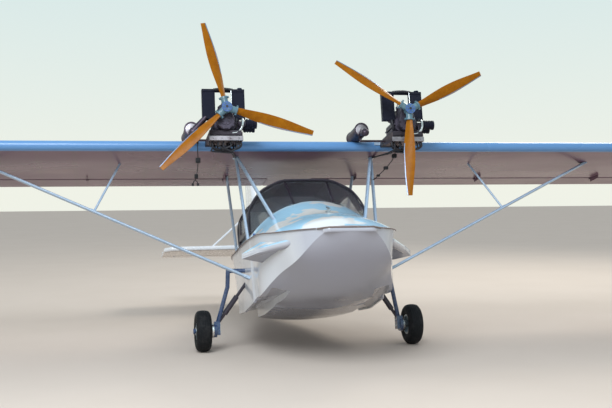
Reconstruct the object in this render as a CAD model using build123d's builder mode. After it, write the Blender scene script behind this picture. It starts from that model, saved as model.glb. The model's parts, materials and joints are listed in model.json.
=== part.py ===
from build123d import *
import math
import os

os.makedirs("parts", exist_ok=True)

# A twin-engined parasol-wing amphibious flying boat, standing on its wheels.
# Every piece is drawn in the level flying attitude, in millimetres, with the middle of
# the main axle as origin: X to the left wing tip, Y aft, Z up. At the end all pieces are
# turned nose up together, until the tail wheel stands on the same ground as the main wheels.

# Parked attitude and running gaps
PARK_ANGLE = 12.0
GAP = 0.3
FIT = 0.09
SWING_GAP = 8.0

# Main wheels and their legs
TRACK = 2120.0
WHEEL_R = 200.0
TYRE_W = 150.0
RIM_R = 98.0
AXLE_R = 18.0
LEG_R = 21.0
LEG_TOP_Y = -170.0
LEG_TOP_Z = 560.0
LEG_REACH = 130.0
KNUCKLE_X = TRACK / 2 - 135.0
SHOCK_R = 26.0
BRAKE_R = 66.0

# Tail wheel
TAIL_WHEEL_Y = 3330.0
TAIL_WHEEL_R = 80.0
TAIL_WHEEL_W = 50.0
TAIL_TRAIL = 55.0
TAIL_PIVOT_R = 14.0
TAIL_BOSS_TOP_Z = 860.0

# Wing
SPAN = 11400.0
CHORD = 1450.0
WING_LE_Y = -380.0
WING_LE_Z = 1752.0
INCIDENCE = 3.0
TIP_LENGTH = 260.0
FLAP_CHORD = 310.0
FLAP_HINGE_N = 24.0
FLAP_NOSE_R = 36.0
FLAP_IN = 250.0
FLAP_OUT = 5300.0
FLAP_BRACKETS = (720.0, 2160.0, 3600.0, 5040.0)
BRACKET_T = 8.0
BRACKET_EYE_R = 12.0
REAR_SPAR_AHEAD = 120.0
REAR_SPAR_N = 16.0
HINGE_PIN_R = 6.0

# Hull and cabin
CABIN_FRONT = -155.0
DOOR_FRONT = -80.0
DOOR_REAR = 530.0
CABIN_REAR = 560.0
FLOOR_Z = 290.0
WELL_X = 548.0
FOOT_X = 400.0
FOOT_FRONT = -980.0
SKIN = 26.0
POST_R = 11.0
GLASS_T = 5.0
SEAT_X = 262.0
SEAT_W = 440.0
BASE_Y = -110.0
BASE_L = 400.0
BASE_H = 138.0
BACK_FOOT_Y = 318.0
BACK_HEAD_Y = 458.0
BACK_HEAD_Z = 1023.0
SHELL_T = 22.0
CUSHION_T = 70.0
CUSHION_IN = 5.0
BACK_CUSHION_L = 510.0
DOOR_HINGE_X = 232.0
DOOR_HINGE_Z = 1469.5
DOOR_KNUCKLE_R = 7.0
DOOR_PIN_R = 3.0
DOOR_HINGES = (30.0, 420.0)
DOOR_SILL_Z = 948.0

# Struts
STRUT_W = 62.0
STRUT_T = 30.0
JURY_R = 11.0

# Engines and propellers
ENGINE_X = 880.0
PROP_Y = -940.0
PROP_Z = 1980.0
PROP_R = 840.0
SHAFT_R = 18.0
HUB_R = 44.0
HUB_L = 84.0
HUB_BOLTS = 6
HUB_BOLT_PCD = 64.0
HUB_BOLT_R = 3.5
HUB_BOLT_DEPTH = 16.0
BLADE_ROOT = 104.0
RADIATOR_W = 123.0
RADIATOR_H = 290.0
RADIATOR_T = 60.0
RADIATOR_X = 141.0
RADIATOR_TANK_H = 24.0
RADIATOR_Y = -700.0
RADIATOR_Z = 2080.0
BED_X = 135.0
BED_FRONT = -830.0
BED_TOP = 1794.0
BED_H = 44.0
BED_PLATE = 5.0
CRANK_Z = 1880.0
CRANKCASE_W = 196.0
CRANKCASE_H = 130.0
ENGINE_REAR = -455.0
GEARBOX_REAR = -785.0
GEARBOX_L = 88.0
GEARBOX_LOW_R = 84.0
GEARBOX_TOP_R = 58.0
CYLINDERS_Y = (-700.0, -560.0)
CYLINDER_R = 54.0
HEAD_Z = 2035.0
EXHAUST_Z = 1965.0
CARB_R = 25.0
FILTER_R = 46.0
FILTER_X = 205.0
FILTER_L = 107.0
FILTER_Z = 1893.0
MUFFLER_R = 71.0
MUFFLER_Y = -600.0
MUFFLER_L = 350.0
BRACKET_Y = -540.0
BRACKET_R = 11.0
CABLE_R = 4.0
MUFFLER_PLACES = {"left": (-390.0, 1872.0), "right": (-295.0, 1868.0)}
PIPE_R = 25.0
PIPE_BELLY_R = 36.0
CLAMP_R = 37.0
CLAMP_L = 18.0

# Tail surfaces
FIN_BASE_Y = 2760.0
FIN_TOP_Y = 3420.0
RUDDER_HINGE_Y = 3680.0
RUDDER_BOTTOM = 900.0
FIN_TOP_Z = 2450.0
RUDDER_CHORD = 350.0
RUDDER_HINGES = (1420.0, 2220.0)
FIN_T = 70.0
TAIL_HALF_SPAN = 1220.0
TAIL_LE_Y = 3020.0
TAIL_Z = 1270.0
ELEV_HINGE_Y = 3560.0
ELEV_CHORD = 300.0
TAIL_T = 60.0

LEFT_RIGHT = ((1, "left"), (-1, "right"))

# distance of the flaperon hinge behind the leading edge
FLAP_HINGE_S = CHORD - FLAP_CHORD

SIN_P = math.sin(math.radians(PARK_ANGLE))
COS_P = math.cos(math.radians(PARK_ANGLE))
SIN_I = math.sin(math.radians(INCIDENCE))
COS_I = math.cos(math.radians(INCIDENCE))

pieces = []


def keep(part, label):
    """Name a finished piece and put it on the list that is written at the end."""
    part.label = label
    pieces.append(part)


def wing_point(x, s, n):
    """Point at spanwise x, s behind the leading edge along the chord and n above it."""
    return Vector(x, WING_LE_Y + s * COS_I + n * SIN_I, WING_LE_Z - s * SIN_I + n * COS_I)


def wing_plane(x):
    """Section plane of the wing at x: local X runs aft along the chord, local Y up."""
    return Plane(origin=wing_point(x, 0, 0), x_dir=(0, COS_I, -SIN_I), z_dir=(1, 0, 0))


def frame_plane(y):
    """Cross-section plane of the hull at y: local X to the left, local Y up."""
    return Plane(origin=(0, y, 0), x_dir=(1, 0, 0), z_dir=(0, -1, 0))


def rod(start, end, radius):
    """Round rod between two points, in the part being built."""
    start, end = Vector(*start), Vector(*end)
    run = end - start
    with Locations(Plane(origin=start, z_dir=run).location):
        Cylinder(radius, run.length, align=(Align.CENTER, Align.CENTER, Align.MIN))


def ball(centre, radius):
    """Round joint between two rods, in the part being built."""
    with Locations(Location(tuple(centre))):
        Sphere(radius)


def blade_strut(start, end, width, thick):
    """Streamlined strut whose wide side lies fore and aft, in the part being built."""
    start, end = Vector(*start), Vector(*end)
    run = end - start
    aft = Vector(0, 1, 0) - run * (run.Y / run.length ** 2)
    with BuildSketch(Plane(origin=start, x_dir=aft, z_dir=run)) as section:
        Ellipse(width / 2, thick / 2)
    extrude(section.sketch, amount=run.length)


def airfoil(chord, front=0.0):
    """Closed cambered section from nose to tail, from its arcs and a flat underside."""
    c = chord
    with BuildLine() as outline:
        ThreePointArc((front + 0.03 * c, -0.021 * c), (front, 0.006 * c), (front + 0.03 * c, 0.046 * c))
        ThreePointArc((front + 0.03 * c, 0.046 * c), (front + 0.36 * c, 0.094 * c),
                      (front + c, 0.004 * c))
        Line((front + c, 0.004 * c), (front + c, -0.004 * c))
        Line((front + c, -0.004 * c), (front + 0.34 * c, -0.026 * c))
        ThreePointArc((front + 0.34 * c, -0.026 * c), (front + 0.17 * c, -0.0275 * c),
                      (front + 0.03 * c, -0.021 * c))
    return outline


# Hull cross-sections from bow to stern: heights of the keel, half breadths and heights of the
# chine and of the deck edge, and height of the crown of the deck.
HULL_COLUMNS = ("y", "keel_z", "chine_x", "chine_z", "edge_x", "edge_z", "crown_z")
BOW = (
    (-1880, 656, 170, 664, 185, 682, 702),
    (-1800, 548, 262, 622, 272, 692, 735),
    (-1700, 455, 356, 524, 368, 702, 785),
    (-1350, 248, 476, 410, 530, 738, 893),
    (-1000, 172, 584, 290, 612, 785, 985),
    (-760, 146, 614, 246, 640, 801, 1078),
    (-520, 128, 632, 216, 655, 808, 1178),
)
MIDBODY = (
    BOW[-1],
    (0, 110, 645, 172, 665, 812, 1180),
    (420, 110, 640, 190, 662, 815, 1180),
)
AFTERBODY = (
    (420, 200, 635, 272, 662, 815, 1180),
    (1000, 300, 560, 372, 612, 835, 1150),
    (1700, 425, 410, 500, 455, 890, 1095),
    (2600, 620, 238, 682, 262, 990, 1110),
    (3300, 775, 135, 820, 148, 1085, 1160),
    (3600, 845, 80, 876, 88, 1120, 1180),
)
HULL_ROWS = BOW + MIDBODY[1:] + AFTERBODY[1:]
FLANGE_W = 9.0
FLANGE_T = 14.0
CLEAT_Y = -1073.0
CLEAT_Z = 971.0
CLEAT_RUN, CLEAT_RISE = 0.96, 0.29

# Tunnels of the planing bottom, between its centre pad and the chine: edge of the pad, height
# of the roof beside the pad and, at the chine, the outer end of the roof.
TUNNEL_COLUMNS = ("y", "pad_x", "roof_z", "outer_x", "outer_z")
TUNNEL = (
    (-1300, 344, 215, 460, 290),
    (-1010, 386, 264, 550, 292),
    (-740, 414, 250, 590, 254),
    (-500, 427, 240, 610, 226),
    (-20, 440, 235, 622, 186),
    (430, 440, 232, 618, 200),
)


def hull_section(row):
    """Face of one hull cross-section."""
    r = dict(zip(HULL_COLUMNS, row))
    chine, edge = (r["chine_x"], r["chine_z"]), (r["edge_x"], r["edge_z"])
    with BuildSketch(frame_plane(r["y"])) as section:
        with BuildLine():
            ThreePointArc((-chine[0], chine[1]), (0, r["keel_z"]), chine)
            Line(chine, edge)
            ThreePointArc(edge, (0, r["crown_z"]), (-edge[0], edge[1]))
            Line((-edge[0], edge[1]), (-chine[0], chine[1]))
        make_face()
    return section.sketch


def slab_section(row, half_width, bottom, top):
    """Face of a level slab at one hull row, its heights measured from the deck edge."""
    r = dict(zip(HULL_COLUMNS, row))
    with BuildSketch(frame_plane(r["y"])) as section:
        with Locations((0, r["edge_z"] + bottom)):
            Rectangle(2 * half_width(r), top - bottom, align=(Align.CENTER, Align.MIN))
    return section.sketch


def tunnel_section(row, side):
    """Face of the space cut for one tunnel."""
    r = dict(zip(TUNNEL_COLUMNS, row))
    with BuildSketch(frame_plane(r["y"])) as section:
        with BuildLine():
            Polyline((side * r["pad_x"], 20), (side * (r["pad_x"] + 15), r["roof_z"]),
                     (side * r["outer_x"], r["outer_z"]), (side * (r["outer_x"] + 6), 20),
                     close=True)
        make_face()
    return section.sketch


# Outline of the cabin, half of it, from the sill up to the middle of the roof.
CABIN_HALF = ((600.0, 900.0), (597.0, 1149.0), (483.0, 1337.0), (339.0, 1425.0), (226.0, 1462.0))


def cabin_outline(inset, low=0.0):
    """Cabin outline pulled in by inset, its lower ends moved down by low."""
    pulls = ((1.0, 0.0), (0.93, 0.27), (0.7, 0.72), (0.4, 0.92), (0.15, 1.0))
    half = [(x - px * inset, z - pz * inset) for (x, z), (px, pz) in zip(CABIN_HALF, pulls)]
    half[0] = (half[0][0], half[0][1] - low)
    return half + [(-x, z) for x, z in reversed(half)]


def cabin_section(y, points):
    """Face of one cabin cross-section through the given points."""
    with BuildSketch(frame_plane(y)) as section:
        with BuildLine():
            Polyline(*points, close=True)
        make_face()
    return section.sketch


# Rear fairing of the cabin: the cabin outline dies out into the after deck.
FAIRING = (
    (CABIN_REAR, ((600, 800), (597, 1149), (483, 1337), (339, 1425), (226, 1462))),
    (1150, ((540, 800), (515, 1050), (410, 1205), (290, 1278), (190, 1306))),
    (2000, ((390, 800), (350, 965), (262, 1040), (170, 1072), (100, 1082))),
)

# Windshield foot: half outline of the small front section under the two posts.
SHIELD_FRONT_Y = -540.0
SHIELD_FRONT = ((330.0, 1020.0), (300.0, 1075.0), (262.0, 1112.0), (230.0, 1130.0), (202.0, 1142.0))

# Spray strakes: half sections from the bow aft, each a root top, a tip top, a tip bottom and
# a root bottom on the side of the hull.
STRAKE = (
    (-1500, ((400, 640), (462, 622), (462, 606), (400, 600))),
    (-1180, ((520, 705), (672, 628), (672, 588), (520, 560))),
    (-960, ((560, 752), (790, 612), (790, 566), (560, 520))),
    (-840, ((560, 752), (640, 640), (640, 560), (560, 540))),
)

# Whole outside shape, and the space under the seam between hull and deck
with BuildPart() as shape:
    loft([hull_section(row) for row in BOW])
    loft([hull_section(row) for row in MIDBODY], ruled=True)
    loft([hull_section(row) for row in AFTERBODY])
with BuildPart() as under_seam:
    ends = [(BOW[0][0] - 60, *BOW[0][1:])] + list(HULL_ROWS) + [(3700, *HULL_ROWS[-1][1:])]
    loft([slab_section(row, lambda r: 900, -1200, -FLANGE_T / 2) for row in ends], ruled=True)

# Deck with its flange and the rear fairing of the cabin
with BuildPart() as deck:
    add(shape.part)
    for rows in (BOW, MIDBODY, AFTERBODY):
        loft([slab_section(row, lambda r: r["edge_x"] + FLANGE_W, -FLANGE_T, FLANGE_T / 2)
              for row in rows], ruled=rows is MIDBODY)
    loft([cabin_section(y, list(half) + [(-x, z) for x, z in reversed(half)])
          for y, half in FAIRING])
    add(under_seam.part, mode=Mode.SUBTRACT)
    with BuildSketch(Plane.XY.offset(FLOOR_Z)) as well:
        with BuildLine():
            Polyline((-WELL_X, CABIN_REAR), (WELL_X, CABIN_REAR), (WELL_X, CABIN_FRONT),
                     (350, -415), (180, -490), (-180, -490), (-350, -415),
                     (-WELL_X, CABIN_FRONT), close=True)
        make_face()
    extrude(well.sketch, amount=1400, mode=Mode.SUBTRACT)
keep(deck.part, "deck")

# Mooring cleat on the fore deck
with BuildPart() as mooring_cleat:
    with Locations(Plane(origin=(0, CLEAT_Y, CLEAT_Z), x_dir=(0, CLEAT_RUN, CLEAT_RISE),
                         z_dir=(0, -CLEAT_RISE, CLEAT_RUN)).location):
        Box(90, 34, 10, align=(Align.CENTER, Align.CENTER, Align.MAX))
        with Locations((-20, 0, 0), (20, 0, 0)):
            Cylinder(8, 26, align=(Align.CENTER, Align.CENTER, Align.MIN))
    for turn in (-1, 1):
        rod((0, CLEAT_Y - CLEAT_RISE * 30, CLEAT_Z + CLEAT_RUN * 30),
            (0, CLEAT_Y - CLEAT_RISE * 30 + turn * CLEAT_RUN * 72,
             CLEAT_Z + CLEAT_RUN * 30 + turn * CLEAT_RISE * 72), 8)
    add(deck.part, mode=Mode.SUBTRACT)
keep(mooring_cleat.part, "mooring_cleat")

# Hull with strakes, tunnels, cockpit and foot well
with BuildPart() as hull:
    add(shape.part)
    add(under_seam.part, mode=Mode.INTERSECT)
    for side, label in LEFT_RIGHT:
        loft([cabin_section(y, [(side * x, z) for x, z in half]) for y, half in STRAKE],
             ruled=True)
        loft([tunnel_section(row, side) for row in TUNNEL], ruled=True, mode=Mode.SUBTRACT)
    with BuildSketch(Plane.XY.offset(FLOOR_Z)) as cockpit:
        with BuildLine():
            Polyline((-WELL_X, CABIN_REAR), (WELL_X, CABIN_REAR), (WELL_X, CABIN_FRONT),
                     (FOOT_X, CABIN_FRONT), (FOOT_X, FOOT_FRONT), (-FOOT_X, FOOT_FRONT),
                     (-FOOT_X, CABIN_FRONT), (-WELL_X, CABIN_FRONT), close=True)
        make_face()
    extrude(cockpit.sketch, amount=1000, mode=Mode.SUBTRACT)
    # boss and pivot bore of the tail wheel
    tail_hub_z = (TAIL_WHEEL_R - WHEEL_R + TAIL_WHEEL_Y * SIN_P) / COS_P
    tail_plane = Plane(origin=(0, TAIL_WHEEL_Y, tail_hub_z), x_dir=(1, 0, 0),
                       z_dir=(0, -SIN_P, COS_P))
    pivot_plane = tail_plane.offset(0).shift_origin(
        tail_plane.from_local_coords(Vector(0, -TAIL_TRAIL, 0)))
    boss_plane = pivot_plane.offset(TAIL_WHEEL_R + 24 + GAP)
    boss_length = (TAIL_BOSS_TOP_Z - boss_plane.origin.Z) / COS_P
    with Locations(boss_plane.location):
        Cylinder(TAIL_PIVOT_R + 12, boss_length, align=(Align.CENTER, Align.CENTER, Align.MIN))
    with Locations(pivot_plane.location):
        Cylinder(TAIL_PIVOT_R + FIT, 260, align=(Align.CENTER, Align.CENTER, Align.MIN),
                 mode=Mode.SUBTRACT)
keep(hull.part, "hull")

# Wing with tips and flaperon hinge brackets
half_plain = SPAN / 2 - TIP_LENGTH
cove_s = FLAP_HINGE_S - FLAP_NOSE_R - SWING_GAP
with BuildPart() as wing:
    with BuildSketch(wing_plane(-half_plain)) as section:
        with BuildLine():
            add(airfoil(CHORD).line)
        make_face()
    extrude(section.sketch, amount=2 * half_plain)
    for side, label in LEFT_RIGHT:
        sections = []
        for out, share in ((0.0, 1.0), (0.6, 0.93), (1.0, 0.70)):
            chord = CHORD * share
            with BuildSketch(wing_plane(side * (half_plain + out * TIP_LENGTH))) as section:
                with BuildLine():
                    add(airfoil(chord, front=(CHORD - chord) * 0.42).line)
                make_face()
            sections.append(section.sketch)
        loft(sections)
    # openings for the flaperons
    for side, label in LEFT_RIGHT:
        x_low = min(side * (FLAP_IN - SWING_GAP), side * (FLAP_OUT + SWING_GAP))
        with BuildSketch(wing_plane(x_low)) as opening:
            with Locations((cove_s, 0)):
                Rectangle(CHORD, 400, align=(Align.MIN, Align.CENTER))
        extrude(opening.sketch, amount=FLAP_OUT - FLAP_IN + 2 * SWING_GAP, mode=Mode.SUBTRACT)
    # hinge brackets with their pins
    for side, label in LEFT_RIGHT:
        for x in FLAP_BRACKETS:
            with BuildSketch(wing_plane(side * x - BRACKET_T / 2)) as bracket:
                with BuildLine():
                    Polyline((cove_s - 150, -20), (cove_s - 120, -62), (FLAP_HINGE_S, -58),
                             (FLAP_HINGE_S + BRACKET_EYE_R, -44),
                             (FLAP_HINGE_S + BRACKET_EYE_R, FLAP_HINGE_N),
                             (FLAP_HINGE_S - BRACKET_EYE_R, FLAP_HINGE_N),
                             (FLAP_HINGE_S - BRACKET_EYE_R, -24), (cove_s - 10, -10), close=True)
                make_face()
                with Locations((FLAP_HINGE_S, FLAP_HINGE_N)):
                    Circle(BRACKET_EYE_R)
            extrude(bracket.sketch, amount=BRACKET_T)
            reach = BRACKET_T / 2 + SWING_GAP + 24
            rod(wing_point(side * x - reach, FLAP_HINGE_S, FLAP_HINGE_N),
                wing_point(side * x + reach, FLAP_HINGE_S, FLAP_HINGE_N), HINGE_PIN_R)
keep(wing.part, "wing")

# Flaperons
for side, label in LEFT_RIGHT:
    x_low = min(side * FLAP_IN, side * FLAP_OUT)
    with BuildPart() as flaperon:
        with BuildSketch(wing_plane(x_low)) as section:
            with BuildLine():
                add(airfoil(CHORD).line)
            make_face()
            with Locations((FLAP_HINGE_S - CHORD, 0)):
                Rectangle(CHORD, 600, align=(Align.MIN, Align.CENTER), mode=Mode.SUBTRACT)
            with Locations((FLAP_HINGE_S, FLAP_HINGE_N)):
                Circle(FLAP_NOSE_R)
        extrude(section.sketch, amount=FLAP_OUT - FLAP_IN)
        for x in FLAP_BRACKETS:
            slot_half = BRACKET_T / 2 + SWING_GAP
            with BuildSketch(wing_plane(side * x - slot_half)) as slot:
                ceiling = FLAP_HINGE_N + BRACKET_EYE_R + SWING_GAP
                with Locations((FLAP_HINGE_S - 60, ceiling)):
                    Rectangle(110, 200, align=(Align.MIN, Align.MAX))
            extrude(slot.sketch, amount=2 * slot_half, mode=Mode.SUBTRACT)
            reach = slot_half + 25
            with Locations(Plane(origin=wing_point(side * x - reach, FLAP_HINGE_S, FLAP_HINGE_N),
                                 z_dir=(1, 0, 0)).location):
                Cylinder(HINGE_PIN_R + FIT, 2 * reach, mode=Mode.SUBTRACT,
                         align=(Align.CENTER, Align.CENTER, Align.MIN))
    keep(flaperon.part, f"flaperon_{label}")

# Canopy frame: front bow, windshield posts, roof beam and rear bow
outer = cabin_outline(0.0, low=40.0)
inner = cabin_outline(SKIN, low=60.0)
with BuildPart() as canopy_frame:
    extrude(cabin_section(CABIN_REAR, outer), amount=CABIN_REAR - CABIN_FRONT)
    extrude(cabin_section(CABIN_REAR + 10, inner), amount=CABIN_REAR + 50 - CABIN_FRONT,
            mode=Mode.SUBTRACT)
    for side, label in LEFT_RIGHT:
        rod((side * 192, -530, 1112), (side * 214, CABIN_FRONT + 20, 1446), POST_R)
    for side, label in LEFT_RIGHT:
        # door openings
        with Locations((side * (DOOR_HINGE_X - SWING_GAP), (DOOR_FRONT + DOOR_REAR) / 2, 780)):
            Box(600, DOOR_REAR - DOOR_FRONT, 900, mode=Mode.SUBTRACT,
                align=(Align.MIN if side > 0 else Align.MAX, Align.CENTER, Align.MIN))
        # hinge knuckles with their pins on the roof
        for y in DOOR_HINGES:
            for knuckle_y in (y - 24, y + 24):
                with BuildSketch(frame_plane(knuckle_y + 8)) as knuckle:
                    with Locations((side * (DOOR_HINGE_X - 2), DOOR_HINGE_Z)):
                        Circle(DOOR_KNUCKLE_R)
                    with Locations((side * (DOOR_HINGE_X - 20), DOOR_HINGE_Z - 6)):
                        Rectangle(36, 5)
                extrude(knuckle.sketch, amount=16)
            rod((side * (DOOR_HINGE_X - 2), y - 30, DOOR_HINGE_Z),
                (side * (DOOR_HINGE_X - 2), y + 30, DOOR_HINGE_Z), DOOR_PIN_R)
    add(deck.part, mode=Mode.SUBTRACT)
keep(canopy_frame.part, "canopy_frame")

# Windshield
with BuildPart() as windshield:
    front = [(x, z) for x, z in SHIELD_FRONT] + [(-x, z) for x, z in reversed(SHIELD_FRONT)]
    rear = cabin_outline(0.0)
    loft([cabin_section(SHIELD_FRONT_Y, front), cabin_section(CABIN_FRONT - GAP, rear)],
         ruled=True)
    front_in = [(x - GLASS_T if x > 0 else x + GLASS_T, z - 12) for x, z in front]
    front_in[0] = (front_in[0][0], front_in[0][1] - 60)
    front_in[-1] = (front_in[-1][0], front_in[-1][1] - 60)
    rear_in = cabin_outline(GLASS_T, low=60.0)
    loft([cabin_section(SHIELD_FRONT_Y, front_in), cabin_section(CABIN_FRONT - GAP, rear_in)],
         ruled=True, mode=Mode.SUBTRACT)
    add(deck.part, mode=Mode.SUBTRACT)
keep(windshield.part, "windshield")

# Doors that open upward, each with its pane
pane_out = cabin_outline(8.0)
pane_in = cabin_outline(8.0 + GLASS_T, low=20.0)
door_front = DOOR_FRONT + SWING_GAP
door_rear = DOOR_REAR - SWING_GAP
door_out = cabin_outline(0.0, low=-10.0)
door_in = cabin_outline(SKIN, low=40.0)
window_y = (DOOR_FRONT + DOOR_REAR) / 2
window_w = DOOR_REAR - DOOR_FRONT - 150
for side, label in LEFT_RIGHT:
    reach = (Align.MIN if side > 0 else Align.MAX, Align.CENTER, Align.MIN)
    with BuildPart() as door:
        extrude(cabin_section(door_rear, door_out), amount=door_rear - door_front)
        extrude(cabin_section(door_rear + 10, door_in), amount=door_rear - door_front + 20,
                mode=Mode.SUBTRACT)
        with Locations((side * DOOR_HINGE_X, window_y, DOOR_SILL_Z)):
            Box(500, 900, 800, align=reach, mode=Mode.INTERSECT)
        for y in DOOR_HINGES:
            with BuildSketch(frame_plane(y + 15.5)) as leaf:
                with Locations((side * (DOOR_HINGE_X - 2), DOOR_HINGE_Z)):
                    Circle(DOOR_KNUCKLE_R)
                with BuildLine():
                    Polyline((side * DOOR_HINGE_X, DOOR_HINGE_Z - 1),
                             (side * (DOOR_HINGE_X + 34), DOOR_HINGE_Z - 13),
                             (side * (DOOR_HINGE_X + 34), DOOR_HINGE_Z - 24),
                             (side * (DOOR_HINGE_X + 4), DOOR_HINGE_Z - 13), close=True)
                make_face()
                with Locations((side * (DOOR_HINGE_X - 2), DOOR_HINGE_Z)):
                    Circle(DOOR_PIN_R + FIT, mode=Mode.SUBTRACT)
            extrude(leaf.sketch, amount=31)
        with BuildSketch(Plane.YZ.offset(side * 300)) as window:
            with Locations((window_y, 1165)):
                RectangleRounded(window_w, 340, 50)
        extrude(window.sketch, amount=side * 400, mode=Mode.SUBTRACT)
    keep(door.part, f"door_{label}")
    with BuildPart() as door_glass:
        extrude(cabin_section(door_rear, pane_out), amount=door_rear - door_front)
        extrude(cabin_section(door_rear + 10, pane_in), amount=door_rear - door_front + 20,
                mode=Mode.SUBTRACT)
        with BuildSketch(Plane.YZ.offset(side * 300)) as window:
            with Locations((window_y, 1165)):
                RectangleRounded(window_w - 2 * GAP, 340 - 2 * GAP, 50)
        extrude(window.sketch, amount=side * 400, mode=Mode.INTERSECT)
    keep(door_glass.part, f"door_glass_{label}")

# Two seats side by side: base and back shell, then their cushions
back_rise = Vector(0, BACK_HEAD_Y - BACK_FOOT_Y, BACK_HEAD_Z - FLOOR_Z)
with BuildPart() as seats:
    for side, label in LEFT_RIGHT:
        with Locations((side * SEAT_X, BASE_Y, FLOOR_Z)):
            Box(SEAT_W, BASE_L, BASE_H, align=(Align.CENTER, Align.MIN, Align.MIN))
        with BuildSketch(Plane.YZ.offset(side * SEAT_X)) as back:
            with BuildLine():
                Polyline((BACK_FOOT_Y, FLOOR_Z), (BACK_FOOT_Y + SHELL_T, FLOOR_Z),
                         (BACK_HEAD_Y + SHELL_T, BACK_HEAD_Z), (BACK_HEAD_Y, BACK_HEAD_Z),
                         close=True)
            make_face()
        extrude(back.sketch, amount=SEAT_W / 2, both=True)
keep(seats.part, "seats")
for side, label in LEFT_RIGHT:
    with BuildPart() as cushions:
        with Locations((side * SEAT_X, BASE_Y + CUSHION_IN, FLOOR_Z + BASE_H + GAP)):
            Box(SEAT_W - 2 * CUSHION_IN, BASE_L - 2 * CUSHION_IN, CUSHION_T,
                align=(Align.CENTER, Align.MIN, Align.MIN))
        # local X runs up the front of the back shell, local Y forward from it
        face = Plane(origin=(side * SEAT_X, BACK_FOOT_Y, FLOOR_Z), x_dir=back_rise,
                     z_dir=(1, 0, 0))
        with BuildSketch(face) as back:
            with Locations((BASE_H + CUSHION_T + CUSHION_IN, GAP)):
                Rectangle(BACK_CUSHION_L, CUSHION_T * 0.8, align=(Align.MIN, Align.MIN))
        extrude(back.sketch, amount=SEAT_W / 2 - CUSHION_IN, both=True)
        fillet(cushions.edges().filter_by(Axis.Z), 30)
    keep(cushions.part, f"seat_cushions_{label}")

# Instrument panel under its cowl
with BuildPart() as instrument_panel:
    with BuildSketch(frame_plane(-360)) as cowl:
        with BuildLine():
            Polyline((-315, 760), (315, 760), (315, 1000))
            ThreePointArc((315, 1000), (0, 1140), (-315, 1000))
            Line((-315, 1000), (-315, 760))
        make_face()
    extrude(cowl.sketch, amount=60)
    with Locations((0, -390, FLOOR_Z)):
        Box(120, 60, 480, align=(Align.CENTER, Align.CENTER, Align.MIN))
keep(instrument_panel.part, "instrument_panel")

# Control stick
with BuildPart() as control_stick:
    with Locations((0, -215, FLOOR_Z)):
        Box(120, 120, 40, align=(Align.CENTER, Align.CENTER, Align.MIN))
    rod((0, -215, FLOOR_Z + 30), (0, -170, FLOOR_Z + 380), 13)
    rod((-180, -170, FLOOR_Z + 380), (180, -170, FLOOR_Z + 380), 13)
    for side, label in LEFT_RIGHT:
        ball((side * 180, -170, FLOOR_Z + 380), 13)
        rod((side * 180, -170, FLOOR_Z + 380), (side * 180, -155, FLOOR_Z + 520), 13)
keep(control_stick.part, "control_stick")

# Lift struts with jury struts, and the pylon struts
pylons = {}
for side, label in LEFT_RIGHT:
    with BuildPart() as lift_strut:
        low, high = Vector(side * 600, -390, 440), Vector(side * 3190, 52, 1702)
        blade_strut(low, high, STRUT_W, STRUT_T)
        jury = low + (high - low) * 0.575
        rod(tuple(jury), tuple(wing_point(side * 1815, 480, 0)), JURY_R)
        add(hull.part, mode=Mode.SUBTRACT)
        add(deck.part, mode=Mode.SUBTRACT)
        add(wing.part, mode=Mode.SUBTRACT)
    keep(lift_strut.part, f"lift_strut_{label}")
    with BuildPart() as pylon:
        apex = (side * 700, -120, 1735)
        blade_strut((side * 428, -745, 930), apex, STRUT_W, STRUT_T)
        blade_strut((side * 638, -395, 770), apex, STRUT_W, STRUT_T)
        rear_apex = wing_point(side * 700, FLAP_HINGE_S - REAR_SPAR_AHEAD, REAR_SPAR_N)
        blade_strut((side * 570, 900, 800), rear_apex, STRUT_W, STRUT_T)
        add(hull.part, mode=Mode.SUBTRACT)
        add(deck.part, mode=Mode.SUBTRACT)
        add(wing.part, mode=Mode.SUBTRACT)
    keep(pylon.part, f"pylon_{label}")
    pylons[label] = pylon.part

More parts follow.
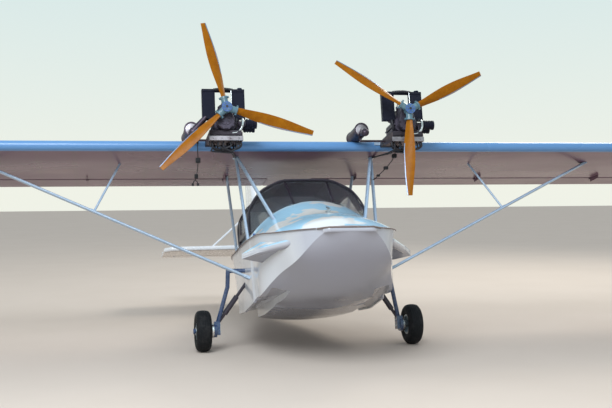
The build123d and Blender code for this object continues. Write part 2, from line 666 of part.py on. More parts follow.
# Engines, their beds, radiators, silencers and propellers
BLADE_ANGLES = {"left": 26.5, "right": 103.4}
BLADE_COLUMNS = ("radius", "chord", "thick", "pitch")
BLADE = (
    (BLADE_ROOT, 64, 30, 48),
    (260, 92, 24, 36),
    (400, 108, 18, 27),
    (640, 88, 12, 19),
    (PROP_R, 50, 7, 15),
)
carriers = {}
for side, label in LEFT_RIGHT:
    ex = side * ENGINE_X
    with BuildPart() as engine_bed:
        # two rails that run back over the wing, a tray between them and two cross members
        for rail in (-1, 1):
            with Locations((ex + rail * BED_X, BED_FRONT, BED_TOP)):
                Box(28, 620, BED_H, align=(Align.CENTER, Align.MIN, Align.MAX))
        with Locations((ex, BED_FRONT, BED_TOP - BED_H + BED_PLATE)):
            Box(2 * BED_X, 600, BED_PLATE, align=(Align.CENTER, Align.MIN, Align.MAX))
        for y in (BED_FRONT + 6, -500):
            with Locations((ex, y, BED_TOP)):
                Box(2 * BED_X, 12, BED_H - 8, align=(Align.CENTER, Align.CENTER, Align.MAX))
        add(wing.part, mode=Mode.SUBTRACT)
    bed = engine_bed.part.solids().sort_by(Axis.Y)[0]
    keep(Part(bed.wrapped), f"engine_bed_{label}")
    with BuildPart() as engine:
        with Locations((ex, (GEARBOX_REAR + ENGINE_REAR) / 2, BED_TOP)):
            Box(2 * BED_X + 20, ENGINE_REAR - GEARBOX_REAR, 16, align=(Align.CENTER, Align.CENTER, Align.MIN))
        with Locations((ex, (GEARBOX_REAR + ENGINE_REAR) / 2, BED_TOP + 10)):
            Box(150, 300, 20, align=(Align.CENTER, Align.CENTER, Align.MIN))
        # crankcase with the flange where its halves meet
        with BuildSketch(frame_plane(ENGINE_REAR)) as case:
            with Locations((ex, CRANK_Z)):
                RectangleRounded(CRANKCASE_W, CRANKCASE_H, 34)
                Rectangle(CRANKCASE_W + 22, 12)
        extrude(case.sketch, amount=ENGINE_REAR - GEARBOX_REAR)
        # cylinder block, head and spark plugs
        with BuildSketch(Plane.XY.offset(CRANK_Z + CRANKCASE_H / 2 - 10)) as block:
            with Locations((ex, sum(CYLINDERS_Y) / 2)):
                RectangleRounded(2 * CYLINDER_R + 18, CYLINDERS_Y[1] - CYLINDERS_Y[0]
                                 + 2 * CYLINDER_R + 18, 44)
        extrude(block.sketch, amount=HEAD_Z - CRANK_Z - CRANKCASE_H / 2)
        for y in CYLINDERS_Y:
            with Locations((ex, y, HEAD_Z - 12)):
                Cylinder(CYLINDER_R, 34, align=(Align.CENTER, Align.CENTER, Align.MIN))
                Cylinder(CYLINDER_R - 14, 46, align=(Align.CENTER, Align.CENTER, Align.MIN))
                Cylinder(9, 66, align=(Align.CENTER, Align.CENTER, Align.MIN))
                Cylinder(13, 96, align=(Align.CENTER, Align.CENTER, Align.MIN))
            # inlet stub and carburettor with its bowl
            port = (ex + CYLINDER_R, y, EXHAUST_Z - 25)
            throat = (ex + FILTER_X - 60, y, FILTER_Z)
            rod(port, throat, CARB_R)
            ball(throat, CARB_R)
            rod(throat, (ex + FILTER_X, y, FILTER_Z), CARB_R)
            rod((ex + FILTER_X - 42, y, FILTER_Z - 56), (ex + FILTER_X - 42, y, FILTER_Z), 21)
            rod((ex - CYLINDER_R, y, EXHAUST_Z), (ex - CYLINDER_R - 24, y, EXHAUST_Z), 27)
        # starter at the rear
        rod((ex, ENGINE_REAR, CRANK_Z + 10), (ex, ENGINE_REAR + 18, CRANK_Z + 10), 66)
        rod((ex, ENGINE_REAR + 18, CRANK_Z + 10), (ex, ENGINE_REAR + 70, CRANK_Z + 10), 48)
        # water pipes up to the radiators
        for rail in (-1, 1):
            rod((ex + rail * 80, RADIATOR_Y, CRANK_Z + 30),
                (ex + rail * RADIATOR_X, RADIATOR_Y, RADIATOR_Z - RADIATOR_H / 2), 16)
    keep(engine.part, f"engine_{label}")
    with BuildPart() as gearbox:
        with BuildSketch(frame_plane(GEARBOX_REAR)) as housing:
            with Locations((ex, CRANK_Z)):
                Circle(GEARBOX_LOW_R)
            with Locations((ex, PROP_Z)):
                Circle(GEARBOX_TOP_R)
            make_hull()
        extrude(housing.sketch, amount=GEARBOX_L)
        chamfer(gearbox.faces().sort_by(Axis.Y)[0].edges(), 9)
        front = GEARBOX_REAR - GEARBOX_L
        rod((ex, front, PROP_Z), (ex, front - 10, PROP_Z), 38)
        rod((ex, front, CRANK_Z), (ex, front - 7, CRANK_Z), 46)
        with Locations(frame_plane(front + 14).shift_origin((ex, front + 14, CRANK_Z)).location):
            with PolarLocations(GEARBOX_LOW_R - 4, 5, start_angle=180, angular_range=180):
                Cylinder(9, 20, align=(Align.CENTER, Align.CENTER, Align.MIN))
        rod((ex, front, PROP_Z), (ex, PROP_Y + 10, PROP_Z), SHAFT_R)
    keep(gearbox.part, f"gearbox_{label}")
    with BuildPart() as air_filters:
        for y in CYLINDERS_Y:
            start = ex + FILTER_X
            rod((start, y, FILTER_Z), (start + FILTER_L, y, FILTER_Z), FILTER_R - 6)
            for shift, length in ((6, 16), (36, 10), (60, 10), (FILTER_L - 20, 20)):
                rod((start + shift, y, FILTER_Z), (start + shift + length, y, FILTER_Z), FILTER_R)
    keep(air_filters.part, f"air_filters_{label}")
    with BuildPart() as radiators:
        for rail in (-1, 1):
            with Locations((ex + rail * RADIATOR_X, RADIATOR_Y, RADIATOR_Z)):
                Box(RADIATOR_W - 8, RADIATOR_T - 10, RADIATOR_H)
            for end in (-1, 1):
                z = RADIATOR_Z + end * (RADIATOR_H - RADIATOR_TANK_H) / 2
                with Locations((ex + rail * RADIATOR_X, RADIATOR_Y, z)):
                    Box(RADIATOR_W, RADIATOR_T, RADIATOR_TANK_H)
            for edge in (-1, 1):
                x = ex + rail * RADIATOR_X + edge * (RADIATOR_W / 2 - 3)
                with Locations((x, RADIATOR_Y, RADIATOR_Z)):
                    Box(6, RADIATOR_T - 4, RADIATOR_H)
        top = RADIATOR_Z + RADIATOR_H / 2
        with Locations((ex + RADIATOR_X + 20, RADIATOR_Y, top)):
            Cylinder(13, 8, align=(Align.CENTER, Align.CENTER, Align.MIN))
        with Locations((ex + RADIATOR_X + 20, RADIATOR_Y, top + 8)):
            Cylinder(22, 9, align=(Align.CENTER, Align.CENTER, Align.MIN))
        rod((ex - RADIATOR_X, RADIATOR_Y, top - 12), (ex + RADIATOR_X, RADIATOR_Y, top - 12), 14)
        add(engine.part, mode=Mode.SUBTRACT)
    keep(radiators.part, f"radiators_{label}")
    muffler_x, muffler_z = MUFFLER_PLACES[label]
    with BuildPart() as silencer:
        # drum with its end rings
        front = (ex + muffler_x, MUFFLER_Y, muffler_z)
        rear = (ex + muffler_x, MUFFLER_Y + MUFFLER_L, muffler_z)
        rod((front[0], MUFFLER_Y + 8, muffler_z), rear, MUFFLER_R - 5)
        for y in (MUFFLER_Y, MUFFLER_Y + MUFFLER_L - 16):
            with BuildSketch(frame_plane(y + 16)) as ring:
                with Locations((ex + muffler_x, muffler_z)):
                    Circle(MUFFLER_R)
                    Circle(MUFFLER_R - 12, mode=Mode.SUBTRACT)
            extrude(ring.sketch, amount=16)
        rod((rear[0], rear[1], rear[2] - 30), (rear[0] - 20, rear[1] + 60, rear[2] - 60), 17)
        # tuned pipe from the exhaust flange, widening to its belly, then into the drum
        port = Vector(ex - CYLINDER_R - 24 - 14, MUFFLER_Y - 30, EXHAUST_Z)
        neck = Vector(ex - 175, MUFFLER_Y - 110, EXHAUST_Z - 20)
        belly = Vector(ex + muffler_x, MUFFLER_Y - 115, muffler_z - 62)
        flange = Vector(ex - CYLINDER_R - 24, MUFFLER_Y - 30, EXHAUST_Z)
        with Locations((flange.X - 9, MUFFLER_Y - 30, EXHAUST_Z)):
            Box(18, CYLINDERS_Y[1] - CYLINDERS_Y[0] + 56, 50)
        rod(tuple(port), tuple(neck), PIPE_R)
        ball(tuple(neck), PIPE_R)
        run = belly - neck
        with Locations(Plane(origin=neck, z_dir=run).location):
            Cone(PIPE_R, PIPE_BELLY_R, run.length, align=(Align.CENTER, Align.CENTER, Align.MIN))
        ball(tuple(belly), PIPE_BELLY_R)
        rod(tuple(belly), (belly.X, MUFFLER_Y + 20, muffler_z - 30), PIPE_BELLY_R - 4)
        # bracket out from the bed rail and up to the drum
        arm_z = BED_TOP - BED_H / 2
        rod((ex - BED_X, BRACKET_Y, arm_z), (ex + muffler_x, BRACKET_Y, arm_z), BRACKET_R)
        ball((ex + muffler_x, BRACKET_Y, arm_z), BRACKET_R)
        rod((ex + muffler_x, BRACKET_Y, arm_z), (ex + muffler_x, BRACKET_Y, muffler_z), BRACKET_R)
        add(engine.part, mode=Mode.SUBTRACT)
        add(engine_bed.part, mode=Mode.SUBTRACT)
        add(wing.part, mode=Mode.SUBTRACT)
        add(radiators.part, mode=Mode.SUBTRACT)
    keep(Part(silencer.part.solids().sort_by(SortBy.VOLUME)[-1].wrapped), f"silencer_{label}")
    carriers[label] = silencer.part if label == "right" else engine_bed.part
    with BuildPart() as prop_hub:
        with BuildSketch(Plane.XZ.offset(-PROP_Y - HUB_L / 2)) as disc:
            with Locations((ex, PROP_Z)):
                Circle(HUB_R)
        extrude(disc.sketch, amount=HUB_L)
        for step in range(3):
            angle = math.radians(BLADE_ANGLES[label] + 120 * step)
            out = Vector(math.cos(angle), 0, math.sin(angle))
            centre = Vector(ex, PROP_Y, PROP_Z)
            rod(tuple(centre + out * 20), tuple(centre + out * BLADE_ROOT), CLAMP_R - 5)
            rod(tuple(centre + out * (BLADE_ROOT - CLAMP_L)), tuple(centre + out * BLADE_ROOT),
                CLAMP_R)
            across = Vector(0, 1, 0).cross(out)
            with Locations(Plane(origin=centre + out * (BLADE_ROOT - CLAMP_L), x_dir=across,
                                 z_dir=out).location):
                Box(2 * CLAMP_R + 18, 16, CLAMP_L,
                    align=(Align.CENTER, Align.CENTER, Align.MIN))
        with Locations(Plane(origin=(ex, PROP_Y, PROP_Z), z_dir=(0, 1, 0)).location):
            Cylinder(SHAFT_R + FIT, 2 * HUB_L, mode=Mode.SUBTRACT)
        with Locations(Plane(origin=(ex, PROP_Y - HUB_L / 2, PROP_Z), z_dir=(0, 1, 0)).location):
            with PolarLocations(HUB_BOLT_PCD / 2, HUB_BOLTS):
                Cylinder(HUB_BOLT_R, HUB_BOLT_DEPTH, mode=Mode.SUBTRACT,
                         align=(Align.CENTER, Align.CENTER, Align.MIN))
    keep(prop_hub.part, f"prop_hub_{label}")
    with BuildPart() as blades:
        for step in range(3):
            angle = math.radians(BLADE_ANGLES[label] + 120 * step)
            out = Vector(math.cos(angle), 0, math.sin(angle))
            sections = []
            for row in BLADE:
                b = dict(zip(BLADE_COLUMNS, row))
                turn = math.radians(b["pitch"])
                across = Vector(0, 1, 0).cross(out)
                chordwise = across * math.cos(turn) + Vector(0, 1, 0) * math.sin(turn)
                centre = Vector(ex, PROP_Y, PROP_Z) + out * b["radius"]
                half, rise = b["chord"] / 2, b["thick"] / 2
                edge = b["thick"] * 0.12
                with BuildSketch(Plane(origin=centre, x_dir=chordwise, z_dir=out)) as section:
                    with BuildLine():
                        ThreePointArc((-half, edge), (0, rise), (half, edge))
                        Line((half, edge), (half, -edge))
                        ThreePointArc((half, -edge), (0, -rise), (-half, -edge))
                        Line((-half, -edge), (-half, edge))
                    make_face()
                sections.append(section.sketch)
            loft(sections)
    keep(blades.part, f"blades_{label}")

# Loose cable of each engine with its clip and connectors: the right one hangs from the arm
# of the silencer, the left one runs from the engine bed to a tie on the front pylon strut
CABLES = {
    "right": ((-1117, -540, 1752), (-1116, -525, 1686), (-1112, -508, 1612), (-1114, -489, 1530),
              (-1124, -474, 1460), (-1140, -461, 1400)),
    "left": ((868, -480, 1744), (864, -474, 1695), (846, -464, 1632), (810, -436, 1572),
             (766, -376, 1522), (722, -312, 1480), (690, -262, 1452)),
}
CONNECTORS = {
    "right": (((-1117, -540, 1752), (18, 26, 24)), ((-1113, -501, 1585), (34, 28, 46)),
              ((-1130, -468, 1436), (20, 18, 34))),
    "left": (((868, -480, 1742), (20, 22, 16)), ((847, -465, 1640), (44, 34, 40)),
             ((775, -389, 1534), (42, 28, 30)), ((716, -304, 1476), (30, 24, 22))),
}
for label, route in CABLES.items():
    corners = [Vector(*point) for point in route]
    radii = []
    for before, corner, after in zip(corners, corners[1:], corners[2:]):
        turn = math.radians((corner - before).get_angle(after - corner))
        shorter = min((corner - before).length, (after - corner).length)
        radii.append(0.45 * shorter / math.tan(turn / 2))
    print("cable", label, "radii", [round(radius) for radius in radii])
    with BuildPart() as cable:
        with BuildLine() as path:
            FilletPolyline(*corners, radius=radii)
        with BuildSketch(Plane(origin=corners[0], z_dir=corners[1] - corners[0])) as section:
            Circle(CABLE_R)
        sweep(section.sketch, path=path.line)
    keep(cable.part, f"cable_{label}")
    with BuildPart() as connectors:
        for place, sizes in CONNECTORS[label]:
            with Locations(place):
                Box(*sizes)
        if label == "right":
            # two short tails below the last connector, each with its plug
            for spread in (-1, 1):
                low = corners[-1] + Vector(spread * 22, 4, -28)
                rod(corners[-1], low, CABLE_R)
                rod(low, low + Vector(spread * 4, 4, -22), 7)
            ball(corners[-1], CABLE_R + 3)
        else:
            # tie round the front pylon strut
            rod(corners[-1], corners[-1] + Vector(-6, 37, -3), 6)
        add(cable.part, mode=Mode.SUBTRACT)
        add(carriers[label], mode=Mode.SUBTRACT)
        add(pylons[label], mode=Mode.SUBTRACT)
    keep(connectors.part, f"cable_connectors_{label}")

# Fin and rudder
with BuildPart() as fin:
    with BuildSketch(Plane.YZ.offset(-FIN_T / 2)) as side_view:
        with BuildLine():
            Polyline((FIN_BASE_Y, 1040), (FIN_TOP_Y, FIN_TOP_Z - 60), (FIN_TOP_Y + 70, FIN_TOP_Z),
                     (RUDDER_HINGE_Y - 44, FIN_TOP_Z), (RUDDER_HINGE_Y - 44, 1040), close=True)
        make_face()
    extrude(side_view.sketch, amount=FIN_T)
    nose = [e for e in fin.edges() if abs(e.center().X) > 1 and e.center().Z > 1100
            and e.center().Y < FIN_TOP_Y + 60]
    fillet(nose, 0.44 * FIN_T)
    for z in RUDDER_HINGES:
        with Locations((0, RUDDER_HINGE_Y - 30, z)):
            Box(24, 70, 16)
        rod((0, RUDDER_HINGE_Y, z - 40), (0, RUDDER_HINGE_Y, z + 40), HINGE_PIN_R)
        rod((0, RUDDER_HINGE_Y, z - 8), (0, RUDDER_HINGE_Y, z + 8), 15)
    add(hull.part, mode=Mode.SUBTRACT)
    add(deck.part, mode=Mode.SUBTRACT)
    with Locations(Plane(origin=(0, ELEV_HINGE_Y, TAIL_Z), z_dir=(1, 0, 0)).location):
        Cylinder(14 + FIT, 200, mode=Mode.SUBTRACT)
with BuildPart() as rudder:
    with BuildSketch(Plane.YZ.offset(-FIN_T / 2)) as side_view:
        with BuildLine():
            Polyline((RUDDER_HINGE_Y, RUDDER_BOTTOM + 60), (RUDDER_HINGE_Y + 60, RUDDER_BOTTOM),
                     (RUDDER_HINGE_Y + RUDDER_CHORD - 60, 1040),
                     (RUDDER_HINGE_Y + RUDDER_CHORD, 1200),
                     (RUDDER_HINGE_Y + RUDDER_CHORD - 60, FIN_TOP_Z - 60),
                     (RUDDER_HINGE_Y + RUDDER_CHORD - 130, FIN_TOP_Z),
                     (RUDDER_HINGE_Y, FIN_TOP_Z), close=True)
        make_face()
    extrude(side_view.sketch, amount=FIN_T)
    with BuildSketch(Plane.XY.offset(RUDDER_BOTTOM - 50)) as taper:
        with BuildLine():
            Polyline((-FIN_T / 2, RUDDER_HINGE_Y), (FIN_T / 2, RUDDER_HINGE_Y),
                     (5, RUDDER_HINGE_Y + RUDDER_CHORD), (-5, RUDDER_HINGE_Y + RUDDER_CHORD),
                     close=True)
        make_face()
    extrude(taper.sketch, amount=FIN_TOP_Z - RUDDER_BOTTOM + 100, mode=Mode.INTERSECT)
    rod((0, RUDDER_HINGE_Y, RUDDER_BOTTOM + 60), (0, RUDDER_HINGE_Y, FIN_TOP_Z), FIN_T / 2)
    for z in RUDDER_HINGES:
        with Locations((0, RUDDER_HINGE_Y - 20, z)):
            Box(FIN_T + 20, 70, 16 + 2 * SWING_GAP, mode=Mode.SUBTRACT)
        rod_plane = Plane(origin=(0, RUDDER_HINGE_Y, z - 45), z_dir=(0, 0, 1))
        with Locations(rod_plane.location):
            Cylinder(HINGE_PIN_R + FIT, 90, mode=Mode.SUBTRACT,
                     align=(Align.CENTER, Align.CENTER, Align.MIN))
keep(rudder.part, "rudder")

# Tailplane and elevator
with BuildPart() as tailplane:
    with BuildSketch(Plane.XY.offset(TAIL_Z - TAIL_T / 2)) as plan:
        with BuildLine():
            Polyline((-TAIL_HALF_SPAN, ELEV_HINGE_Y - 40), (-TAIL_HALF_SPAN, TAIL_LE_Y + 170),
                     (-TAIL_HALF_SPAN + 90, TAIL_LE_Y + 50), (-300, TAIL_LE_Y), (300, TAIL_LE_Y),
                     (TAIL_HALF_SPAN - 90, TAIL_LE_Y + 50), (TAIL_HALF_SPAN, TAIL_LE_Y + 170),
                     (TAIL_HALF_SPAN, ELEV_HINGE_Y - 40), close=True)
        make_face()
    extrude(plan.sketch, amount=TAIL_T)
    nose = [e for e in tailplane.edges() if abs(e.center().Z - TAIL_Z) > 1
            and e.center().Y < ELEV_HINGE_Y - 100]
    fillet(nose, 0.44 * TAIL_T)
    add(hull.part, mode=Mode.SUBTRACT)
    add(deck.part, mode=Mode.SUBTRACT)
    for side, label in LEFT_RIGHT:
        x = side * (TAIL_HALF_SPAN - 160)
        with Locations((x, ELEV_HINGE_Y - 25, TAIL_Z)):
            Box(16, 60, 24)
        rod((x - 8, ELEV_HINGE_Y, TAIL_Z), (x + 8, ELEV_HINGE_Y, TAIL_Z), 15)
        rod((x - 45, ELEV_HINGE_Y, TAIL_Z), (x + 45, ELEV_HINGE_Y, TAIL_Z), HINGE_PIN_R)
keep(tailplane.part, "tailplane")

with BuildPart() as fin_seated:
    add(fin.part)
    add(tailplane.part, mode=Mode.SUBTRACT)
keep(fin_seated.part, "fin")

with BuildPart() as elevator:
    with BuildSketch(Plane.XY.offset(TAIL_Z - TAIL_T / 2)) as plan:
        for side, label in LEFT_RIGHT:
            with BuildLine():
                Polyline((side * 60, ELEV_HINGE_Y), (side * TAIL_HALF_SPAN, ELEV_HINGE_Y),
                         (side * TAIL_HALF_SPAN, ELEV_HINGE_Y + ELEV_CHORD - 60),
                         (side * (TAIL_HALF_SPAN - 60), ELEV_HINGE_Y + ELEV_CHORD),
                         (side * 170, ELEV_HINGE_Y + ELEV_CHORD), (side * 60, ELEV_HINGE_Y + 90),
                         close=True)
            make_face()
    extrude(plan.sketch, amount=TAIL_T)
    with BuildSketch(Plane.YZ.offset(-TAIL_HALF_SPAN)) as taper:
        with BuildLine():
            Polyline((ELEV_HINGE_Y, TAIL_Z - TAIL_T / 2), (ELEV_HINGE_Y, TAIL_Z + TAIL_T / 2),
                     (ELEV_HINGE_Y + ELEV_CHORD, TAIL_Z + 5),
                     (ELEV_HINGE_Y + ELEV_CHORD, TAIL_Z - 5), close=True)
        make_face()
    extrude(taper.sketch, amount=2 * TAIL_HALF_SPAN, mode=Mode.INTERSECT)
    for side, label in LEFT_RIGHT:
        rod((side * 60, ELEV_HINGE_Y, TAIL_Z), (side * TAIL_HALF_SPAN, ELEV_HINGE_Y, TAIL_Z),
            TAIL_T / 2)
    rod((-100, ELEV_HINGE_Y, TAIL_Z), (100, ELEV_HINGE_Y, TAIL_Z), 14)
    for side, label in LEFT_RIGHT:
        x = side * (TAIL_HALF_SPAN - 160)
        with Locations((x, ELEV_HINGE_Y - 15, TAIL_Z)):
            Box(16 + 2 * SWING_GAP, 70, TAIL_T + 20, mode=Mode.SUBTRACT)
        with Locations(Plane(origin=(x - 50, ELEV_HINGE_Y, TAIL_Z), z_dir=(1, 0, 0)).location):
            Cylinder(HINGE_PIN_R + FIT, 100, mode=Mode.SUBTRACT,
                     align=(Align.CENTER, Align.CENTER, Align.MIN))
keep(elevator.part, "elevator")

with BuildPart() as tail_braces:
    for side, label in LEFT_RIGHT:
        rod((side * 630, 3150, TAIL_Z), (0, 3280, 1830), 12)
    add(fin_seated.part, mode=Mode.SUBTRACT)
    add(tailplane.part, mode=Mode.SUBTRACT)
keep(tail_braces.part, "tail_braces")

# Main landing gear
for side, label in LEFT_RIGHT:
    with BuildPart() as gear_leg:
        root = (side * 620, LEG_TOP_Y, LEG_TOP_Z)
        elbow = (side * (690 + LEG_REACH), LEG_TOP_Y, LEG_TOP_Z)
        knee = (side * (695 + LEG_REACH), LEG_TOP_Y + 30, LEG_TOP_Z - 150)
        foot = (side * KNUCKLE_X, 0, 40)
        rod(root, elbow, LEG_R)
        ball(elbow, LEG_R)
        rod(elbow, knee, LEG_R)
        ball(knee, LEG_R)
        rod(knee, foot, LEG_R)
        with Locations((side * KNUCKLE_X, 0, 20)):
            Box(60, 84, 130)
        rod((side * KNUCKLE_X, 0, 0), (side * (KNUCKLE_X + 50), 0, 0), BRAKE_R)
        rod((side * KNUCKLE_X, 0, 0), (side * (TRACK / 2 + 88), 0, 0), AXLE_R)
        rod((side * (TRACK / 2 + 76), 0, 0), (side * (TRACK / 2 + 96), 0, 0), AXLE_R + 8)
        add(hull.part, mode=Mode.SUBTRACT)
    keep(gear_leg.part, f"gear_leg_{label}")
    with BuildPart() as gear_shock:
        rod((side * 620, -120, 470), (side * (KNUCKLE_X - 20), 0, 80), SHOCK_R * 0.6)
        low = Vector(side * (KNUCKLE_X - 20), 0, 80)
        high = Vector(side * 620, -120, 470)
        rod(tuple(low + (high - low) * 0.2), tuple(low + (high - low) * 0.62), SHOCK_R)
        add(hull.part, mode=Mode.SUBTRACT)
        add(gear_leg.part, mode=Mode.SUBTRACT)
    keep(gear_shock.part, f"gear_shock_{label}")
    wheel_plane = Plane(origin=(side * TRACK / 2, 0, 0), x_dir=(0, 1, 0), z_dir=(1, 0, 0))
    with BuildPart() as wheel_rim:
        with BuildSketch(wheel_plane.offset(-60)) as disc:
            Circle(RIM_R)
        extrude(disc.sketch, amount=120)
        with BuildSketch(wheel_plane.offset(25)) as dish:
            Circle(RIM_R - 12)
            Circle(42, mode=Mode.SUBTRACT)
        extrude(dish.sketch, amount=60, mode=Mode.SUBTRACT)
        with BuildSketch(wheel_plane.offset(-85)) as dish:
            Circle(RIM_R - 12)
            Circle(42, mode=Mode.SUBTRACT)
        extrude(dish.sketch, amount=60, mode=Mode.SUBTRACT)
        with Locations(wheel_plane.location):
            Cylinder(42, 140)
            Cylinder(AXLE_R + FIT, 200, mode=Mode.SUBTRACT)
    keep(wheel_rim.part, f"wheel_rim_{label}")
    with BuildPart() as tyre:
        with BuildSketch(Plane(origin=(side * TRACK / 2, 0, 0), x_dir=(1, 0, 0),
                               z_dir=(0, -1, 0))) as half:
            with BuildLine():
                Line((-55, RIM_R), (55, RIM_R))
                ThreePointArc((55, RIM_R), (TYRE_W / 2, 148), (50, WHEEL_R - 8))
                ThreePointArc((50, WHEEL_R - 8), (0, WHEEL_R), (-50, WHEEL_R - 8))
                ThreePointArc((-50, WHEEL_R - 8), (-TYRE_W / 2, 148), (-55, RIM_R))
            make_face()
        revolve(half.sketch, axis=Axis((side * TRACK / 2, 0, 0), (1, 0, 0)))
    keep(tyre.part, f"tyre_{label}")

# Tail wheel and its swivelling fork
with BuildPart() as tail_fork:
    with Locations(pivot_plane.location):
        Cylinder(TAIL_PIVOT_R, 250, align=(Align.CENTER, Align.CENTER, Align.MIN))
    crown = TAIL_WHEEL_R + 12
    with BuildSketch(tail_plane.offset(crown)) as top:
        with Locations((0, -TAIL_TRAIL / 2)):
            RectangleRounded(TAIL_WHEEL_W + 46, TAIL_TRAIL + 60, 18)
    extrude(top.sketch, amount=12)
    with Locations(pivot_plane.location):
        Cylinder(TAIL_PIVOT_R + 10, crown, align=(Align.CENTER, Align.CENTER, Align.MIN),
                 mode=Mode.SUBTRACT)
    for side, label in LEFT_RIGHT:
        leg_plane = Plane(origin=tail_plane.from_local_coords(
            Vector(side * (TAIL_WHEEL_W / 2 + 13), 0, 0)), x_dir=(0, COS_P, SIN_P),
            z_dir=(1, 0, 0))
        with BuildSketch(leg_plane.offset(-4)) as leg:
            with BuildLine():
                Polyline((-22, -20), (22, -20), (26, crown + 4), (-50, crown + 4), close=True)
            make_face()
        extrude(leg.sketch, amount=8)
    with Locations(Plane(origin=tail_plane.origin, z_dir=(1, 0, 0)).location):
        Cylinder(9, TAIL_WHEEL_W + 40)
keep(tail_fork.part, "tail_fork")

with BuildPart() as tail_wheel:
    with Locations(Plane(origin=tail_plane.origin, z_dir=(1, 0, 0)).location):
        Cylinder(TAIL_WHEEL_R, TAIL_WHEEL_W)
        Cylinder(9 + FIT, TAIL_WHEEL_W + 10, mode=Mode.SUBTRACT)
    fillet(tail_wheel.edges().filter_by(GeomType.CIRCLE).sort_by(SortBy.RADIUS)[-2:], 16)
keep(tail_wheel.part, "tail_wheel")

# Turn everything nose up about the main axle, stand it on the ground, centre it fore and aft
standing = Location((0, 0, WHEEL_R), (-PARK_ANGLE, 0, 0))
ends = [piece.moved(standing).bounding_box() for piece in pieces]
middle = (min(b.min.Y for b in ends) + max(b.max.Y for b in ends)) / 2
parked = Location((0, -middle, WHEEL_R), (-PARK_ANGLE, 0, 0))
print("middle", round(middle, 4))
for piece in pieces:
    placed = piece.moved(parked)
    placed.label = piece.label
    export_step(placed, f"parts/{piece.label}.step")
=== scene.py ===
import json
import math

import bmesh
import bpy
from mathutils import Matrix, Vector
from mathutils.bvhtree import BVHTree


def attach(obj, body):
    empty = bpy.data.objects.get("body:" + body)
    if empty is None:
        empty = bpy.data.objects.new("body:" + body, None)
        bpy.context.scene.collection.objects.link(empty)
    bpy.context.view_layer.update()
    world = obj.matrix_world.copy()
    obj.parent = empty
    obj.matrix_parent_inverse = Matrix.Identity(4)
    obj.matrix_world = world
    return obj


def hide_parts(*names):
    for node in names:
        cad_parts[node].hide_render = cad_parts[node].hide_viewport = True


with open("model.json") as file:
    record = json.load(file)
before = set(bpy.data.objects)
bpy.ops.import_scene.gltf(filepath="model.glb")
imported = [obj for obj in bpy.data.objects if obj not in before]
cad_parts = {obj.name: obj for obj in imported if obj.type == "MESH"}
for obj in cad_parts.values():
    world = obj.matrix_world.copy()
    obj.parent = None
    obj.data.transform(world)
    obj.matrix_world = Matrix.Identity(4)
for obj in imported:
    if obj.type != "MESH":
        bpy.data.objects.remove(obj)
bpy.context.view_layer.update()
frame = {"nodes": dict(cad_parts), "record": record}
nodes = frame["nodes"]

# The aircraft stands nose up by this angle; heights and distances below are given level,
# in millimetres from the middle of the main axle, and turned into the parked frame here.
PARK = math.radians(12.0)
WHEEL_R = 200.0
MIDDLE = 1338.8137
SIDES = ((1, "left"), (-1, "right"))


def at(x, y, z):
    """Level point in millimetres to the parked frame in metres."""
    return Vector((x, y * math.cos(PARK) + z * math.sin(PARK) - MIDDLE,
                   z * math.cos(PARK) - y * math.sin(PARK) + WHEEL_R)) / 1000


def along(x, y, z):
    """Level direction to the parked frame."""
    return Vector((x, y * math.cos(PARK) + z * math.sin(PARK),
                   z * math.cos(PARK) - y * math.sin(PARK))).normalized()


# The same turn as a matrix, for meshes that are built from level points
LEVEL = (Matrix.Translation((0, -MIDDLE / 1000, WHEEL_R / 1000))
         @ Matrix.Rotation(-PARK, 4, "X") @ Matrix.Scale(0.001, 4))


